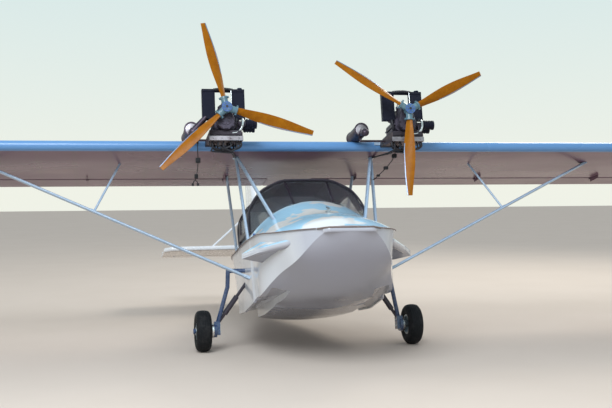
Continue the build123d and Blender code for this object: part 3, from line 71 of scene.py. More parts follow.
# Materials. Each is a small graph of shader nodes.
class Paint:
    """A principled material with helpers that add the nodes of its detail."""

    def __init__(self, name, color, rough, metal=0.0, coat=0.0, coat_rough=0.05, shine=0.5):
        self.mat = bpy.data.materials.new(name)
        self.mat.use_nodes = True
        self.tree = self.mat.node_tree
        self.shader = self.tree.nodes["Principled BSDF"]
        self.shader.inputs["Base Color"].default_value = (*color, 1)
        self.shader.inputs["Roughness"].default_value = rough
        self.shader.inputs["Metallic"].default_value = metal
        self.shader.inputs["Specular IOR Level"].default_value = shine
        self.shader.inputs["Coat Weight"].default_value = coat
        self.shader.inputs["Coat Roughness"].default_value = coat_rough
        self.coord = self.tree.nodes.new("ShaderNodeTexCoord")
        self.color = (*color, 1)

    def node(self, kind, **values):
        n = self.tree.nodes.new(kind)
        for key, value in values.items():
            setattr(n, key, value)
        return n

    def link(self, a, b):
        self.tree.links.new(a, b)

    def place(self, scale, turn=(0, 0, 0)):
        m = self.node("ShaderNodeMapping")
        m.inputs["Scale"].default_value = scale
        m.inputs["Rotation"].default_value = turn
        self.link(self.coord.outputs["Object"], m.inputs["Vector"])
        return m.outputs["Vector"]

    def noise(self, scale, detail=4.0, stretch=(1, 1, 1), rough=0.55):
        n = self.node("ShaderNodeTexNoise")
        n.inputs["Scale"].default_value = scale
        n.inputs["Detail"].default_value = detail
        n.inputs["Roughness"].default_value = rough
        self.link(self.place(stretch), n.inputs["Vector"])
        return n.outputs["Fac"]

    def bands(self, scale, direction="X", distort=0.0, turn=(0, 0, 0)):
        n = self.node("ShaderNodeTexWave", bands_direction=direction)
        n.inputs["Scale"].default_value = scale
        n.inputs["Distortion"].default_value = distort
        n.inputs["Detail"].default_value = 2.0
        self.link(self.place((1, 1, 1), turn), n.inputs["Vector"])
        return n.outputs["Fac"]

    def ramp(self, fac, low, high, a=0.0, b=1.0):
        """Maps fac from low..high to a..b."""
        n = self.node("ShaderNodeMapRange")
        n.inputs["From Min"].default_value = low
        n.inputs["From Max"].default_value = high
        n.inputs["To Min"].default_value = a
        n.inputs["To Max"].default_value = b
        self.link(fac, n.inputs["Value"])
        return n.outputs["Result"]

    def product(self, a, b):
        n = self.node("ShaderNodeMath", operation="MULTIPLY")
        self.link(a, n.inputs[0])
        if isinstance(b, float):
            n.inputs[1].default_value = b
        else:
            self.link(b, n.inputs[1])
        return n.outputs[0]

    def dot(self, direction, source="Object"):
        """How far a point, or its normal, lies along a direction."""
        n = self.node("ShaderNodeVectorMath", operation="DOT_PRODUCT")
        self.link(self.coord.outputs[source], n.inputs[0])
        n.inputs[1].default_value = direction
        return n.outputs["Value"]

    def blend(self, fac, other):
        """Mixes another colour over the present one by fac."""
        n = self.node("ShaderNodeMix", data_type="RGBA")
        if isinstance(self.color, tuple):
            n.inputs["A"].default_value = self.color
        else:
            self.link(self.color, n.inputs["A"])
        n.inputs["B"].default_value = (*other, 1)
        self.link(fac, n.inputs["Factor"])
        self.color = n.outputs["Result"]
        self.link(self.color, self.shader.inputs["Base Color"])

    def rough(self, fac, low, high):
        self.link(self.ramp(fac, 0.3, 0.7, low, high), self.shader.inputs["Roughness"])

    def bump(self, height, strength=0.2, distance=0.002):
        n = self.node("ShaderNodeBump")
        n.inputs["Strength"].default_value = strength
        n.inputs["Distance"].default_value = distance
        self.link(height, n.inputs["Height"])
        old = self.shader.inputs["Normal"].links
        if old:
            self.link(old[0].from_socket, n.inputs["Normal"])
        self.link(n.outputs["Normal"], self.shader.inputs["Normal"])


def gelcoat():
    p = Paint("gelcoat", (0.60, 0.635, 0.67), 0.2, coat=0.5)
    up = p.ramp(p.dot(along(0, 0, 1), "Normal"), 0.30, 0.55)
    fore = p.ramp(p.dot((0, 1, 0)), -1.70, -1.50, 1.0, 0.0)
    # Painted light on the foredeck: faces turned up there are blended to a lighter cream, and
    # noisy patches on them to pale blue as a painted reflection of the sky.
    painted_sky_reflection = p.product(p.product(up, fore), p.ramp(p.noise(3.0, 2.0), 0.53, 0.555, 0.92, 0.08))
    p.blend(p.product(up, fore), (0.86, 0.85, 0.80))
    p.blend(painted_sky_reflection, (0.40, 0.74, 0.97))
    low = p.ramp(p.dot((0, 0, 1)), 0.25, 0.75, 1.0, 0.0)
    grime = p.product(p.ramp(p.noise(7.0, 6.0, (1, 0.3, 1)), 0.48, 0.72), low)
    p.blend(p.product(grime, 0.45), (0.44, 0.42, 0.39))
    # Painted shade: faces turned down are blended to a dark blue-grey.
    painted_underside_shade = p.ramp(p.dot(along(0, 0, 1), "Normal"), -0.8, -0.12, 0.85, 0.0)
    p.blend(painted_underside_shade, (0.24, 0.25, 0.31))
    # Painted shade: faces turned forward, such as the flat of the bow, are blended to a darker
    # blue-grey.
    ahead = p.ramp(p.dot(along(0, -1, 0), "Normal"), 0.35, 0.62, 0.0, 0.6)
    p.blend(ahead, (0.30, 0.31, 0.38))
    p.rough(p.noise(30.0, 3.0), 0.16, 0.26)
    p.bump(p.noise(2.2, 1.0), 0.08, 0.01)
    return p.mat


WING_LE = at(0, -380, 1752)
CHORD_WAY = along(0, math.cos(math.radians(3)), -math.sin(math.radians(3)))
WING_RIB_BANDS = 0.9


def wing_cover():
    # Painted shade: the underside's dark mauve-brown base colour stands in for shade with a
    # painted reflection of the floor; faces turned up are blended to a light grey.
    p = Paint("wing_cover", (0.125, 0.062, 0.10), 0.2, coat=0.12, coat_rough=0.06)
    patches = p.noise(1.1, 3.0, (0.35, 1, 1))
    p.blend(p.ramp(patches, 0.40, 0.62), (0.175, 0.098, 0.135))
    p.blend(p.product(p.ramp(p.noise(2.4, 2.0, (0.5, 1, 1)), 0.6, 0.72), 0.35), (0.28, 0.19, 0.20))
    ribs = p.bands(WING_RIB_BANDS, "X")
    p.blend(p.product(p.ramp(ribs, 0.90, 1.0), 0.25), (0.13, 0.10, 0.10))
    up = p.ramp(p.dot(along(0, 0, 1), "Normal"), 0.0, 0.25)
    p.blend(up, (0.52, 0.56, 0.61))
    behind = p.dot(CHORD_WAY)
    start = WING_LE.dot(CHORD_WAY)
    p.blend(p.ramp(behind, start + 0.050, start + 0.062, 1.0, 0.0), (0.10, 0.25, 0.50))
    p.rough(p.noise(1.7, 2.0, (0.4, 1, 1)), 0.22, 0.36)
    p.bump(ribs, 0.06, 0.003)
    return p.mat


def tail_cover():
    p = Paint("tail_cover", (0.74, 0.77, 0.80), 0.22, coat=0.4)
    p.blend(p.product(p.ramp(p.noise(4.0, 5.0), 0.45, 0.75), 0.4), (0.55, 0.62, 0.68))
    # Painted shade: faces turned down are blended to a warm tan, as shade lit from the floor.
    p.blend(p.ramp(p.dot(along(0, 0, 1), "Normal"), -0.9, -0.5, 0.75, 0.0), (0.46, 0.38, 0.32))
    p.rough(p.noise(25.0, 3.0), 0.18, 0.3)
    p.bump(p.noise(3.0, 2.0), 0.08, 0.006)
    return p.mat


def painted(name, color, worn, rough=0.28, coat=0.3, amount=0.35):
    p = Paint(name, color, rough, coat=coat)
    p.blend(p.product(p.ramp(p.noise(26.0, 6.0), 0.50, 0.72), amount), worn)
    p.rough(p.noise(40.0, 4.0), rough - 0.06, rough + 0.12)
    p.bump(p.noise(160.0, 3.0), 0.08, 0.0006)
    return p.mat


def metal(name, color, rough, stain, stretch=(1, 1, 1), amount=0.5):
    p = Paint(name, color, rough, metal=1.0)
    p.blend(p.product(p.ramp(p.noise(14.0, 6.0), 0.45, 0.75), amount), stain)
    p.rough(p.noise(60.0, 5.0, stretch), rough - 0.08, rough + 0.15)
    p.bump(p.noise(220.0, 4.0, stretch), 0.12, 0.0005)
    return p.mat


def cast_metal():
    p = Paint("cast_metal", (0.050, 0.042, 0.062), 0.5, metal=0.5)
    p.blend(p.product(p.ramp(p.noise(9.0, 5.0), 0.45, 0.7), 0.6), (0.12, 0.10, 0.14))
    p.blend(p.product(p.ramp(p.noise(30.0, 6.0), 0.55, 0.75), 0.6), (0.02, 0.016, 0.022))
    p.rough(p.noise(45.0, 5.0), 0.35, 0.6)
    p.bump(p.noise(300.0, 4.0), 0.3, 0.0008)
    return p.mat


def radiator_paint():
    p = Paint("radiator_paint", (0.004, 0.005, 0.016), 0.5, shine=0.2)
    fins = p.bands(110.0, "Z", 0.0, (PARK, 0, 0))
    p.blend(p.product(p.ramp(fins, 0.6, 1.0), 0.5), (0.014, 0.016, 0.045))
    p.rough(p.noise(50.0, 4.0), 0.38, 0.6)
    p.bump(fins, 0.5, 0.0015)
    return p.mat


def blade_wood():
    p = Paint("blade_wood", (0.235, 0.076, 0.0015), 0.5, shine=0.12)
    p.blend(p.ramp(p.noise(14.0, 8.0, (1, 1, 1), 0.7), 0.35, 0.70), (0.31, 0.112, 0.003))
    grain = p.noise(90.0, 6.0, (1, 4, 1), 0.8)
    p.blend(p.product(p.ramp(grain, 0.5, 0.75), 0.35), (0.44, 0.17, 0.012))
    p.rough(p.noise(30.0, 3.0), 0.24, 0.38)
    p.bump(grain, 0.05, 0.0006)
    return p.mat


def rubber():
    p = Paint("rubber", (0.008, 0.009, 0.011), 0.75, shine=0.2)
    p.blend(p.product(p.ramp(p.noise(16.0, 6.0), 0.50, 0.7), 0.4), (0.035, 0.034, 0.034))
    p.rough(p.noise(60.0, 4.0), 0.6, 0.9)
    p.bump(p.bands(15.0, "X"), 0.6, 0.004)
    p.bump(p.noise(240.0, 4.0), 0.4, 0.001)
    return p.mat


def glazing():
    p = Paint("glazing", (0.90, 0.94, 0.96), 0.03)
    p.shader.inputs["Transmission Weight"].default_value = 1.0
    p.shader.inputs["IOR"].default_value = 1.3
    p.shader.inputs["Alpha"].default_value = 0.45
    p.rough(p.noise(12.0, 5.0), 0.01, 0.05)
    p.bump(p.noise(1.4, 1.0), 0.02, 0.004)
    return p.mat


def woven(name, color, light):
    p = Paint(name, color, 0.8)
    p.shader.inputs["Sheen Weight"].default_value = 0.3
    weave = p.bands(260.0, "X", 0.4)
    across = p.bands(260.0, "Z", 0.4, (PARK, 0, 0))
    both = p.product(weave, across)
    p.blend(p.product(p.ramp(both, 0.2, 0.8), 0.5), light)
    p.rough(p.noise(20.0, 4.0), 0.65, 0.9)
    p.bump(both, 0.35, 0.0012)
    return p.mat


MATS = {
    "gelcoat": gelcoat(),
    "wing_cover": wing_cover(),
    "tail_cover": tail_cover(),
    "strut_paint": painted("strut_paint", (0.34, 0.46, 0.60), (0.55, 0.60, 0.64)),
    "gear_paint": painted("gear_paint", (0.03, 0.06, 0.14), (0.12, 0.16, 0.22), 0.22, 0.6),
    "black_frame": painted("black_frame", (0.028, 0.022, 0.036), (0.07, 0.06, 0.08), 0.38, 0.1),
    "glazing": glazing(),
    "seat_cover": woven("seat_cover", (0.02, 0.022, 0.03), (0.06, 0.065, 0.08)),
    "panel": painted("panel", (0.34, 0.50, 0.64), (0.22, 0.34, 0.45), 0.45, 0.0),
    "bare_metal": metal("bare_metal", (0.50, 0.56, 0.60), 0.32, (0.22, 0.26, 0.28)),
    "engine_metal": cast_metal(),
    "radiator_core": radiator_paint(),
    "exhaust": metal("exhaust", (0.085, 0.065, 0.085), 0.42, (0.03, 0.02, 0.028)),
    "blade_wood": blade_wood(),
    "blade_edge": metal("blade_edge", (0.30, 0.36, 0.50), 0.4, (0.18, 0.22, 0.32)),
    "hub_paint": painted("hub_paint", (0.07, 0.15, 0.20), (0.18, 0.26, 0.24), 0.35, 0.3, 0.6),
    "bed_metal": metal("bed_metal", (0.06, 0.05, 0.06), 0.45, (0.025, 0.02, 0.022), amount=0.7),
    "beam_metal": metal("beam_metal", (0.34, 0.31, 0.33), 0.42, (0.15, 0.12, 0.13), amount=0.8),
    "tray_metal": metal("tray_metal", (0.16, 0.12, 0.13), 0.5, (0.06, 0.045, 0.05), amount=0.7),
    "hose": painted("hose", (0.012, 0.012, 0.018), (0.05, 0.05, 0.055), 0.5, 0.0),
    "bright_pipe": metal("bright_pipe", (0.78, 0.78, 0.78), 0.22, (0.40, 0.38, 0.38)),
    "cable_sheath": painted("cable_sheath", (0.006, 0.006, 0.009), (0.02, 0.02, 0.022), 0.65, 0.0),
    "strip_rubber": painted("strip_rubber", (0.16, 0.12, 0.11), (0.28, 0.24, 0.22), 0.5, 0.0),
    "gear_light": painted("gear_light", (0.04, 0.10, 0.28), (0.16, 0.25, 0.38), 0.3, 0.3),
    "dial": painted("dial", (0.010, 0.010, 0.012), (0.03, 0.03, 0.03), 0.35, 0.2),
    "dial_mark": painted("dial_mark", (0.72, 0.72, 0.68), (0.60, 0.60, 0.56), 0.5, 0.0),
    "tyre": rubber(),
}
slot_of = {s["node"]: s["material_slot"] for s in frame["record"]["subparts"]}
OWN_FINISH = {"prop_hub_left": "hub_paint", "prop_hub_right": "hub_paint",
              "engine_bed_left": "bed_metal", "engine_bed_right": "bed_metal",
              "tail_braces": "tail_cover"}
for name, obj in nodes.items():
    kind = OWN_FINISH.get(name, slot_of[name])
    for place in obj.material_slots:
        place.material = MATS[kind]
    if not obj.material_slots:
        obj.data.materials.append(MATS[kind])


# Mesh pieces. Points are level millimetres until the piece is finished.
def finish_piece(name, bm, finish, body, sharp=35.0):
    """Turns a filled bmesh into a piece that rides on a body."""
    bm.transform(LEVEL)
    bmesh.ops.recalc_face_normals(bm, faces=bm.faces)
    mesh = bpy.data.meshes.new(name)
    bm.to_mesh(mesh)
    bm.free()
    mesh.polygons.foreach_set("use_smooth", [True] * len(mesh.polygons))
    mesh.set_sharp_from_angle(angle=math.radians(sharp))
    mesh.materials.append(MATS[finish])
    obj = bpy.data.objects.new(name, mesh)
    bpy.context.collection.objects.link(obj)
    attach(obj, body)
    return obj


def clock(degrees):
    """Level unit vector in the plane across the aircraft, turned up from port."""
    a = math.radians(degrees)
    return Vector((math.cos(a), 0, math.sin(a)))


def rings(bm, loops):
    """Skin over loops of points, with both ends capped."""
    rows = [[bm.verts.new(p) for p in loop] for loop in loops]
    for a, b in zip(rows, rows[1:]):
        for i in range(len(a)):
            j = (i + 1) % len(a)
            bm.faces.new((a[i], a[j], b[j], b[i]))
    bm.faces.new(rows[0])
    bm.faces.new(rows[-1])


def turned(bm, centre, axis, profile, sides=24):
    """Turned part: profile lists distance along the axis and radius."""
    frame_of = Vector(axis).to_track_quat("Z", "X").to_matrix()
    loops = []
    for reach, radius in profile:
        loops.append([Vector(centre) + frame_of @ Vector((
            max(radius, 0.05) * math.cos(2 * math.pi * i / sides),
            max(radius, 0.05) * math.sin(2 * math.pi * i / sides), reach))
            for i in range(sides)])
    rings(bm, loops)


def bolt(bm, place, axis, washer, head, height):
    """Hexagon head on a thin flange, by their radii and the height of the head."""
    turned(bm, place, axis, ((0, washer), (1.5, washer), (1.5, head), (height, head),
                             (height + 1, head - 1)), 6)


def curve_through(points, steps=6):
    """Smooth run of points through the given ones."""
    pts = [Vector(p) for p in points]
    pts = [2 * pts[0] - pts[1]] + pts + [2 * pts[-1] - pts[-2]]
    out = []
    for a, b, c, d in zip(pts, pts[1:], pts[2:], pts[3:]):
        for k in range(steps):
            t = k / steps
            out.append(0.5 * (2 * b + (c - a) * t + (2 * a - 5 * b + 4 * c - d) * t * t
                              + (3 * b - a - 3 * c + d) * t ** 3))
    out.append(pts[-2])
    return out


def hose(bm, points, radius, sides=12, steps=6, rib=0.0):
    """Round hose along a smooth run, with a raised ring at every second step where rib is set."""
    run = curve_through(points, steps)
    side = None
    loops = []
    for i, p in enumerate(run):
        way = (run[min(i + 1, len(run) - 1)] - run[max(i - 1, 0)]).normalized()
        if side is None:
            side = way.orthogonal().normalized()
        side = (side - way * side.dot(way)).normalized()
        other = way.cross(side)
        r = radius + (rib if i % 2 else 0.0)
        loops.append([p + side * (r * math.cos(2 * math.pi * k / sides))
                      + other * (r * math.sin(2 * math.pi * k / sides)) for k in range(sides)])
    rings(bm, loops)


def block(bm, centre, sizes, x_dir=(1, 0, 0), z_dir=(0, 0, 1), edge=1.5):
    """Block with broken edges."""
    x = Vector(x_dir).normalized()
    z = Vector(z_dir).normalized()
    y = z.cross(x)
    half = [s / 2 for s in sizes]
    loops = []
    for reach, inset in ((-half[2], edge), (-half[2] + edge, 0), (half[2] - edge, 0),
                         (half[2], edge)):
        w, d = half[0] - inset, half[1] - inset
        corner = ((w - edge, d), (w, d - edge), (w, edge - d), (w - edge, -d),
                  (edge - w, -d), (-w, edge - d), (-w, d - edge), (edge - w, d))
        loops.append([Vector(centre) + x * u + y * v + z * reach for u, v in corner])
    rings(bm, loops)


# Propellers: flange plate of the hub with its bolts and bore, bolts of the blade clamps, and
# the metal edge let into each blade
ENGINE_X = 880.0
PROP_Y, PROP_Z = -940.0, 1980.0
HUB_FRONT = PROP_Y - 42.0
HUB_BOLT_R = 32.0
PLATE_T = 3.0
# Flange plate, by distance ahead of the hub's face and radius
PLATE = ((0, 49), (2.2, 49), (PLATE_T, 48), (PLATE_T, 22), (6, 21), (6, 14), (PLATE_T, 13))
CLAMP_BOLT_OUT, CLAMP_BOLT_SIDE, CLAMP_BOLT_AHEAD = 95.0, 41.0, 8.0
BLADE_ANGLES = {"left": 26.5, "right": 103.4}
# Sections of a blade: radius, chord, thickness and pitch in degrees
BLADE = ((104, 64, 30, 48), (260, 92, 24, 36), (400, 108, 18, 27), (640, 88, 12, 19),
         (840, 50, 7, 15))
EDGE_FROM, EDGE_TO, EDGE_STEPS = 330.0, 838.0, 12
EDGE_WIDTH = 9.0
# Half heights of the metal edge at its nose and what it gains behind, as shares of thickness
NOSE_SHARE, CROWN_SHARE = 0.12, 0.38
SKIN = 0.8


def blade_row(radius):
    """Chord, thickness and pitch of a blade at a radius."""
    for low, high in zip(BLADE, BLADE[1:]):
        if radius <= high[0]:
            t = (radius - low[0]) / (high[0] - low[0])
            return [a + (b - a) * t for a, b in zip(low, high)][1:]
    return BLADE[-1][1:]


for side, label in SIDES:
    hub = Vector((side * ENGINE_X, PROP_Y, PROP_Z))
    face = Vector((hub.x, HUB_FRONT, hub.z))
    plate_face = face + Vector((0, -PLATE_T, 0))
    bolts = bmesh.new()
    for i in range(6):
        a = math.radians(60 * i)
        place = plate_face + Vector((HUB_BOLT_R * math.cos(a), 0, HUB_BOLT_R * math.sin(a)))
        turned(bolts, place, (0, -1, 0), ((0, 8), (1.6, 8), (1.6, 7.9)), 20)
        turned(bolts, place, (0, -1, 0), ((1.6, 5.8), (6.4, 5.8), (7.4, 4.8)), 6)
    for i in range(3):
        out = clock(BLADE_ANGLES[label] + 120 * i)
        across = Vector((0, 1, 0)).cross(out)
        for turn in (-1, 1):
            seat = (hub + out * CLAMP_BOLT_OUT + across * (turn * CLAMP_BOLT_SIDE)
                    + Vector((0, -CLAMP_BOLT_AHEAD, 0)))
            turned(bolts, seat, (0, -1, 0), ((0, 6.5), (5, 6.5), (6, 5.5)), 6)
    finish_piece(f"hub_bolts_{label}", bolts, "hub_paint", f"propeller_{label}")
    collar = bmesh.new()
    turned(collar, face, (0, -1, 0), PLATE, 44)
    finish_piece(f"hub_collar_{label}", collar, "gear_light", f"propeller_{label}")
    bore = bmesh.new()
    turned(bore, face, (0, -1, 0), ((2.5, 13), (3.6, 13), (4, 12)), 28)
    finish_piece(f"hub_bore_{label}", bore, "hose", f"propeller_{label}")
    edges = bmesh.new()
    for i in range(3):
        out = clock(BLADE_ANGLES[label] + 120 * i)
        across = Vector((0, 1, 0)).cross(out)
        loops = []
        for k in range(EDGE_STEPS + 1):
            radius = EDGE_FROM + (EDGE_TO - EDGE_FROM) * k / EDGE_STEPS
            chord, thick, pitch = blade_row(radius)
            turn = math.radians(pitch)
            chordwise = across * math.cos(turn) + Vector((0, 1, 0)) * math.sin(turn)
            up = out.cross(chordwise)
            chordwise.negate()
            nose = hub + out * radius - chordwise * (chord / 2)
            edge = thick * NOSE_SHARE + 2 * SKIN
            rise = edge + thick * CROWN_SHARE * (1 - (1 - 2 * EDGE_WIDTH / chord) ** 2)
            loops.append([nose + chordwise * EDGE_WIDTH + up * rise,
                          nose + up * edge, nose - chordwise * SKIN + up * edge * 0.5,
                          nose - chordwise * SKIN - up * edge * 0.5, nose - up * edge,
                          nose + chordwise * EDGE_WIDTH - up * rise])
        rings(edges, loops)
    finish_piece(f"blade_edges_{label}", edges, "blade_edge", f"propeller_{label}")

# Engines: front beam and tray under the bed with the hoses slung below them, radiator hoses,
# plug leads, pipes, bolts and caps
RADIATOR_Y, RADIATOR_Z, RADIATOR_X = -700.0, 2080.0, 141.0
RADIATOR_TOP = RADIATOR_Z + 145.0
CYLINDERS_Y = (-700.0, -560.0)
CRANK_Z, HEAD_Z = 1880.0, 2035.0
GEARBOX_FRONT = -873.0
BED_BOTTOM = 1750.0
TRAY_Z = 1692.0
BEAM_SIZE = (318, 18, 46)
BEAM_Y, BEAM_Z = -842.0, TRAY_Z + BEAM_SIZE[2] / 2
BEAM_BOLTS_X = (-120, -40, 40, 120)
TRAY_HALF, TRAY_T = 152.0, 5.0
# The tray by y and z: outline of a side, and the front and rear edges of the floor
TRAY_SIDE = ((-840, BED_BOTTOM + 30), (-834, TRAY_Z), (-610, TRAY_Z + 18),
             (-480, BED_BOTTOM + 30))
TRAY_ENDS = ((-836, TRAY_Z), (-600, TRAY_Z + 20))
TRAY_SECTION = ((-TRAY_HALF, 0), (TRAY_HALF, 0), (TRAY_HALF, TRAY_T), (-TRAY_HALF, TRAY_T))
# Hose between the radiators, from the middle of their tops
RADIATOR_HOSE = ((-92, -26, -6), (-30, -32, 0), (30, -32, 0), (92, -26, -6))
CAP_SHIFT, CAP_RIB_R = 20.0, 22.5
# Bolt circles ahead of the gearbox: radius, distance, angles, and the outline of a head
GEARBOX_BOLTS = ((32, 7, range(30, 390, 60), ((0, 5.5), (5, 5.5), (6, 4.8))),
                 (80, 6, range(180, 405, 45), ((0, 5), (4, 5), (5, 4.2))))
# Hoses slung under the tray: front end, middle and rear end across, how far they sag, radius
HOSE_LOOPS = ((-150, -60, 30, 62, 9), (-128, -120, 90, 84, 8), (-70, 20, -110, 70, 11),
              (-20, 70, -60, 92, 8), (40, -30, 120, 66, 10), (96, 30, -90, 88, 8),
              (140, 110, 60, 58, 9), (120, 60, -20, 74, 7))
for side, label in SIDES:
    ex = side * ENGINE_X
    beam = bmesh.new()
    block(beam, (ex, BEAM_Y, BEAM_Z), BEAM_SIZE, edge=3)
    for x in BEAM_BOLTS_X:
        bolt(beam, (ex + x, BEAM_Y - BEAM_SIZE[1] / 2, BEAM_Z), (0, -1, 0), 8, 6, 6)
    finish_piece(f"bed_beam_{label}", beam, "beam_metal", "airframe")
    tray = bmesh.new()
    for x in (-TRAY_HALF - 2, TRAY_HALF + 2):
        rings(tray, [[Vector((ex + x + t, y, z)) for y, z in TRAY_SIDE]
                     for t in (-TRAY_T / 2, TRAY_T / 2)])
    rings(tray, [[Vector((ex + x, y, z + t)) for x, t in TRAY_SECTION] for y, z in TRAY_ENDS])
    finish_piece(f"bed_tray_{label}", tray, "tray_metal", "airframe")
    hoses = bmesh.new()
    hose(hoses, [(ex + x, RADIATOR_Y + y, RADIATOR_TOP + z) for x, y, z in RADIATOR_HOSE],
         11, 14, 10, rib=2.2)
    for y, lift in ((CYLINDERS_Y[0], 0), (CYLINDERS_Y[1], 12)):
        hose(hoses, ((ex, y, HEAD_Z + 84), (ex + 14, y + 20, HEAD_Z + 106 + lift),
                     (ex + 50, y + 60, HEAD_Z + 92 + lift), (ex + 66, -500, HEAD_Z + 30),
                     (ex + 60, -470, CRANK_Z + 70)), 4.2)
    for start, middle_x, end_x, dip, radius in HOSE_LOOPS:
        hose(hoses, ((ex + start, -800, TRAY_Z + 4), (ex + start + 6, -796, TRAY_Z - dip * 0.6),
                     (ex + middle_x, -760, TRAY_Z - dip),
                     (ex + end_x * 0.8, -700, TRAY_Z - dip * 0.75),
                     (ex + end_x, -640, TRAY_Z + 10)), radius)
    for rail in (-1, 1):
        hose(hoses, ((ex + rail * 112, RADIATOR_Y - 10, RADIATOR_Z - 150),
                     (ex + rail * 118, RADIATOR_Y - 40, CRANK_Z + 40),
                     (ex + rail * 104, RADIATOR_Y - 30, CRANK_Z - 30),
                     (ex + rail * 90, RADIATOR_Y, CRANK_Z - 50)), 14, 14)
    finish_piece(f"hoses_{label}", hoses, "hose", "airframe")
    bright = bmesh.new()
    hose(bright, ((ex + 150, -712, 1945), (ex + 168, -775, 1915), (ex + 162, -806, 1856),
                  (ex + 140, -815, 1806), (ex + 105, -818, 1778), (ex + 62, -818, 1770)),
         12.5, 16, 8)
    hose(bright, ((ex + 74, RADIATOR_Y - 36, RADIATOR_TOP - 14), (ex + 75, RADIATOR_Y - 38, 2150),
                  (ex + 74, RADIATOR_Y - 36, 2080), (ex + 68, RADIATOR_Y - 20, 2040)), 5, 12)
    finish_piece(f"bright_pipes_{label}", bright, "bright_pipe", "airframe")
    fittings = bmesh.new()
    for radius, ahead, angles, head in GEARBOX_BOLTS:
        for a in map(math.radians, angles):
            turned(fittings, (ex + radius * math.cos(a), GEARBOX_FRONT - ahead,
                              CRANK_Z + radius * math.sin(a)), (0, -1, 0), head, 6)
    for rail in (-1, 1):
        for y in (-800, -640, -500):
            bolt(fittings, (ex + rail * 135, y, BED_BOTTOM + 44), (0, 0, 1), 9, 6.5, 7)
        for x in (-45, 0, 45):
            turned(fittings, (ex + rail * RADIATOR_X + x, RADIATOR_Y - 30, RADIATOR_TOP - 12),
                   (0, -1, 0), ((0, 4), (2.5, 4), (3.2, 3.2)), 6)
    finish_piece(f"engine_fittings_{label}", fittings, "bed_metal", "airframe")
    caps = bmesh.new()
    for y in CYLINDERS_Y:
        turned(caps, (ex, y, HEAD_Z + 60), (0, 0, 1), ((0, 15), (6, 16.5), (22, 15), (26, 9)), 20)
    for turn in range(12):
        a = math.radians(30 * turn)
        block(caps, (ex + RADIATOR_X + CAP_SHIFT + CAP_RIB_R * math.cos(a),
                     RADIATOR_Y + CAP_RIB_R * math.sin(a), RADIATOR_TOP + 12.5),
              (3, 3, 8), edge=0.6)
    finish_piece(f"plug_caps_{label}", caps, "gear_paint", "airframe")

# Points found on the CAD surfaces, for what lies on them, by rays that start outside the hull
TO_LEVEL = LEVEL.inverted()
RAY_X, RAY_Y = 900.0, -2300.0


def surface(node, start, way):
    """Level point and normal where a ray from a level point meets a node."""
    hit, place, normal, _ = nodes[node].ray_cast(at(*start), along(*way))
    if not hit:
        return None
    return TO_LEVEL @ place, (TO_LEVEL.to_3x3() @ normal).normalized()


# Rubbing strip along the flange where hull and deck meet. Rows of its line: y, half width, z.
DECK_EDGE = ((-1800, 272, 692), (-1700, 368, 702), (-1350, 530, 738), (-1000, 612, 785),
             (-760, 640, 801), (-520, 655, 808), (0, 665, 812), (420, 662, 815),
             (1000, 612, 835), (1700, 455, 890), (2600, 262, 990), (3300, 148, 1085))
EDGE_SLACK = 30.0
STRIP_R, STRIP_PROUD = 5.0, 1.5
NOSE_STRIP_R, NOSE_STRIP_Z = 8.0, 689.0
NOSE_STEP, NOSE_STEPS = 21.0, 13
NOSE_RAYS_Z = (684, 692, 700)
strip = bmesh.new()
for side, _ in SIDES:
    line = []
    for y, half_width, z in curve_through(DECK_EDGE, 6):
        met = surface("deck", (side * RAY_X, y, z), (-side, 0, 0))
        if met and abs(met[0].x) > half_width - EDGE_SLACK:
            line.append(met[0] + met[1] * STRIP_PROUD)
    hose(strip, line, STRIP_R, 8, 1)
nose_line = []
for step in range(-NOSE_STEPS, NOSE_STEPS + 1):
    x = step * NOSE_STEP
    met = [hit[0] for hit in (surface(node, (x, RAY_Y, z), (0, 1, 0))
                              for node in ("deck", "hull") for z in NOSE_RAYS_Z) if hit]
    if met:
        nose_line.append(Vector((x, min(p.y for p in met) - 1, NOSE_STRIP_Z)))
hose(strip, nose_line, NOSE_STRIP_R, 10, 2)
finish_piece("rubbing_strip", strip, "strip_rubber", "airframe")

# Nose plate below the rubbing strip, on the flat of the bow, by distance ahead and z
NOSE_PLATE = ((-2, 690), (3.0, 684), (4.0, 672), (3.0, 656), (-2, 650))
plate = bmesh.new()
rings(plate, [[Vector((p.x, p.y + 1 - out, z)) for out, z in NOSE_PLATE]
              for p in nose_line[2:-2]])
finish_piece("nose_plate", plate, "gelcoat", "airframe", sharp=60)

# Rounded leading edges of the spray strakes: centre of the edge as y, x and z, and its radius,
# from the bow to the tip
STRAKE_ARC = 14
STRAKE_EDGE = ((-1546, 418, 622, 4), (-1538, 420, 622, 22), (-1515, 428, 621, 34),
               (-1480, 447, 620, 38), (-1340, 533, 616, 37), (-1180, 634, 608, 33),
               (-1060, 708, 598, 28), (-965, 764, 590, 22), (-944, 772, 589, 14),
               (-936, 775, 589, 3))
for side, label in SIDES:
    edge = bmesh.new()
    line = [Vector((side * x, y, z)) for y, x, z, _ in STRAKE_EDGE]
    way = (line[-1] - line[0]).normalized()
    across = way.cross(Vector((0, 0, 1))).normalized()
    rise = across.cross(way)
    rings(edge, [[p + across * (r * math.cos(k * math.pi / STRAKE_ARC))
                  + rise * (r * math.sin(k * math.pi / STRAKE_ARC))
                  for k in range(2 * STRAKE_ARC)] for p, (_, _, _, r) in zip(line, STRAKE_EDGE)])
    finish_piece(f"strake_edge_{label}", edge, "gelcoat", "airframe", sharp=60)

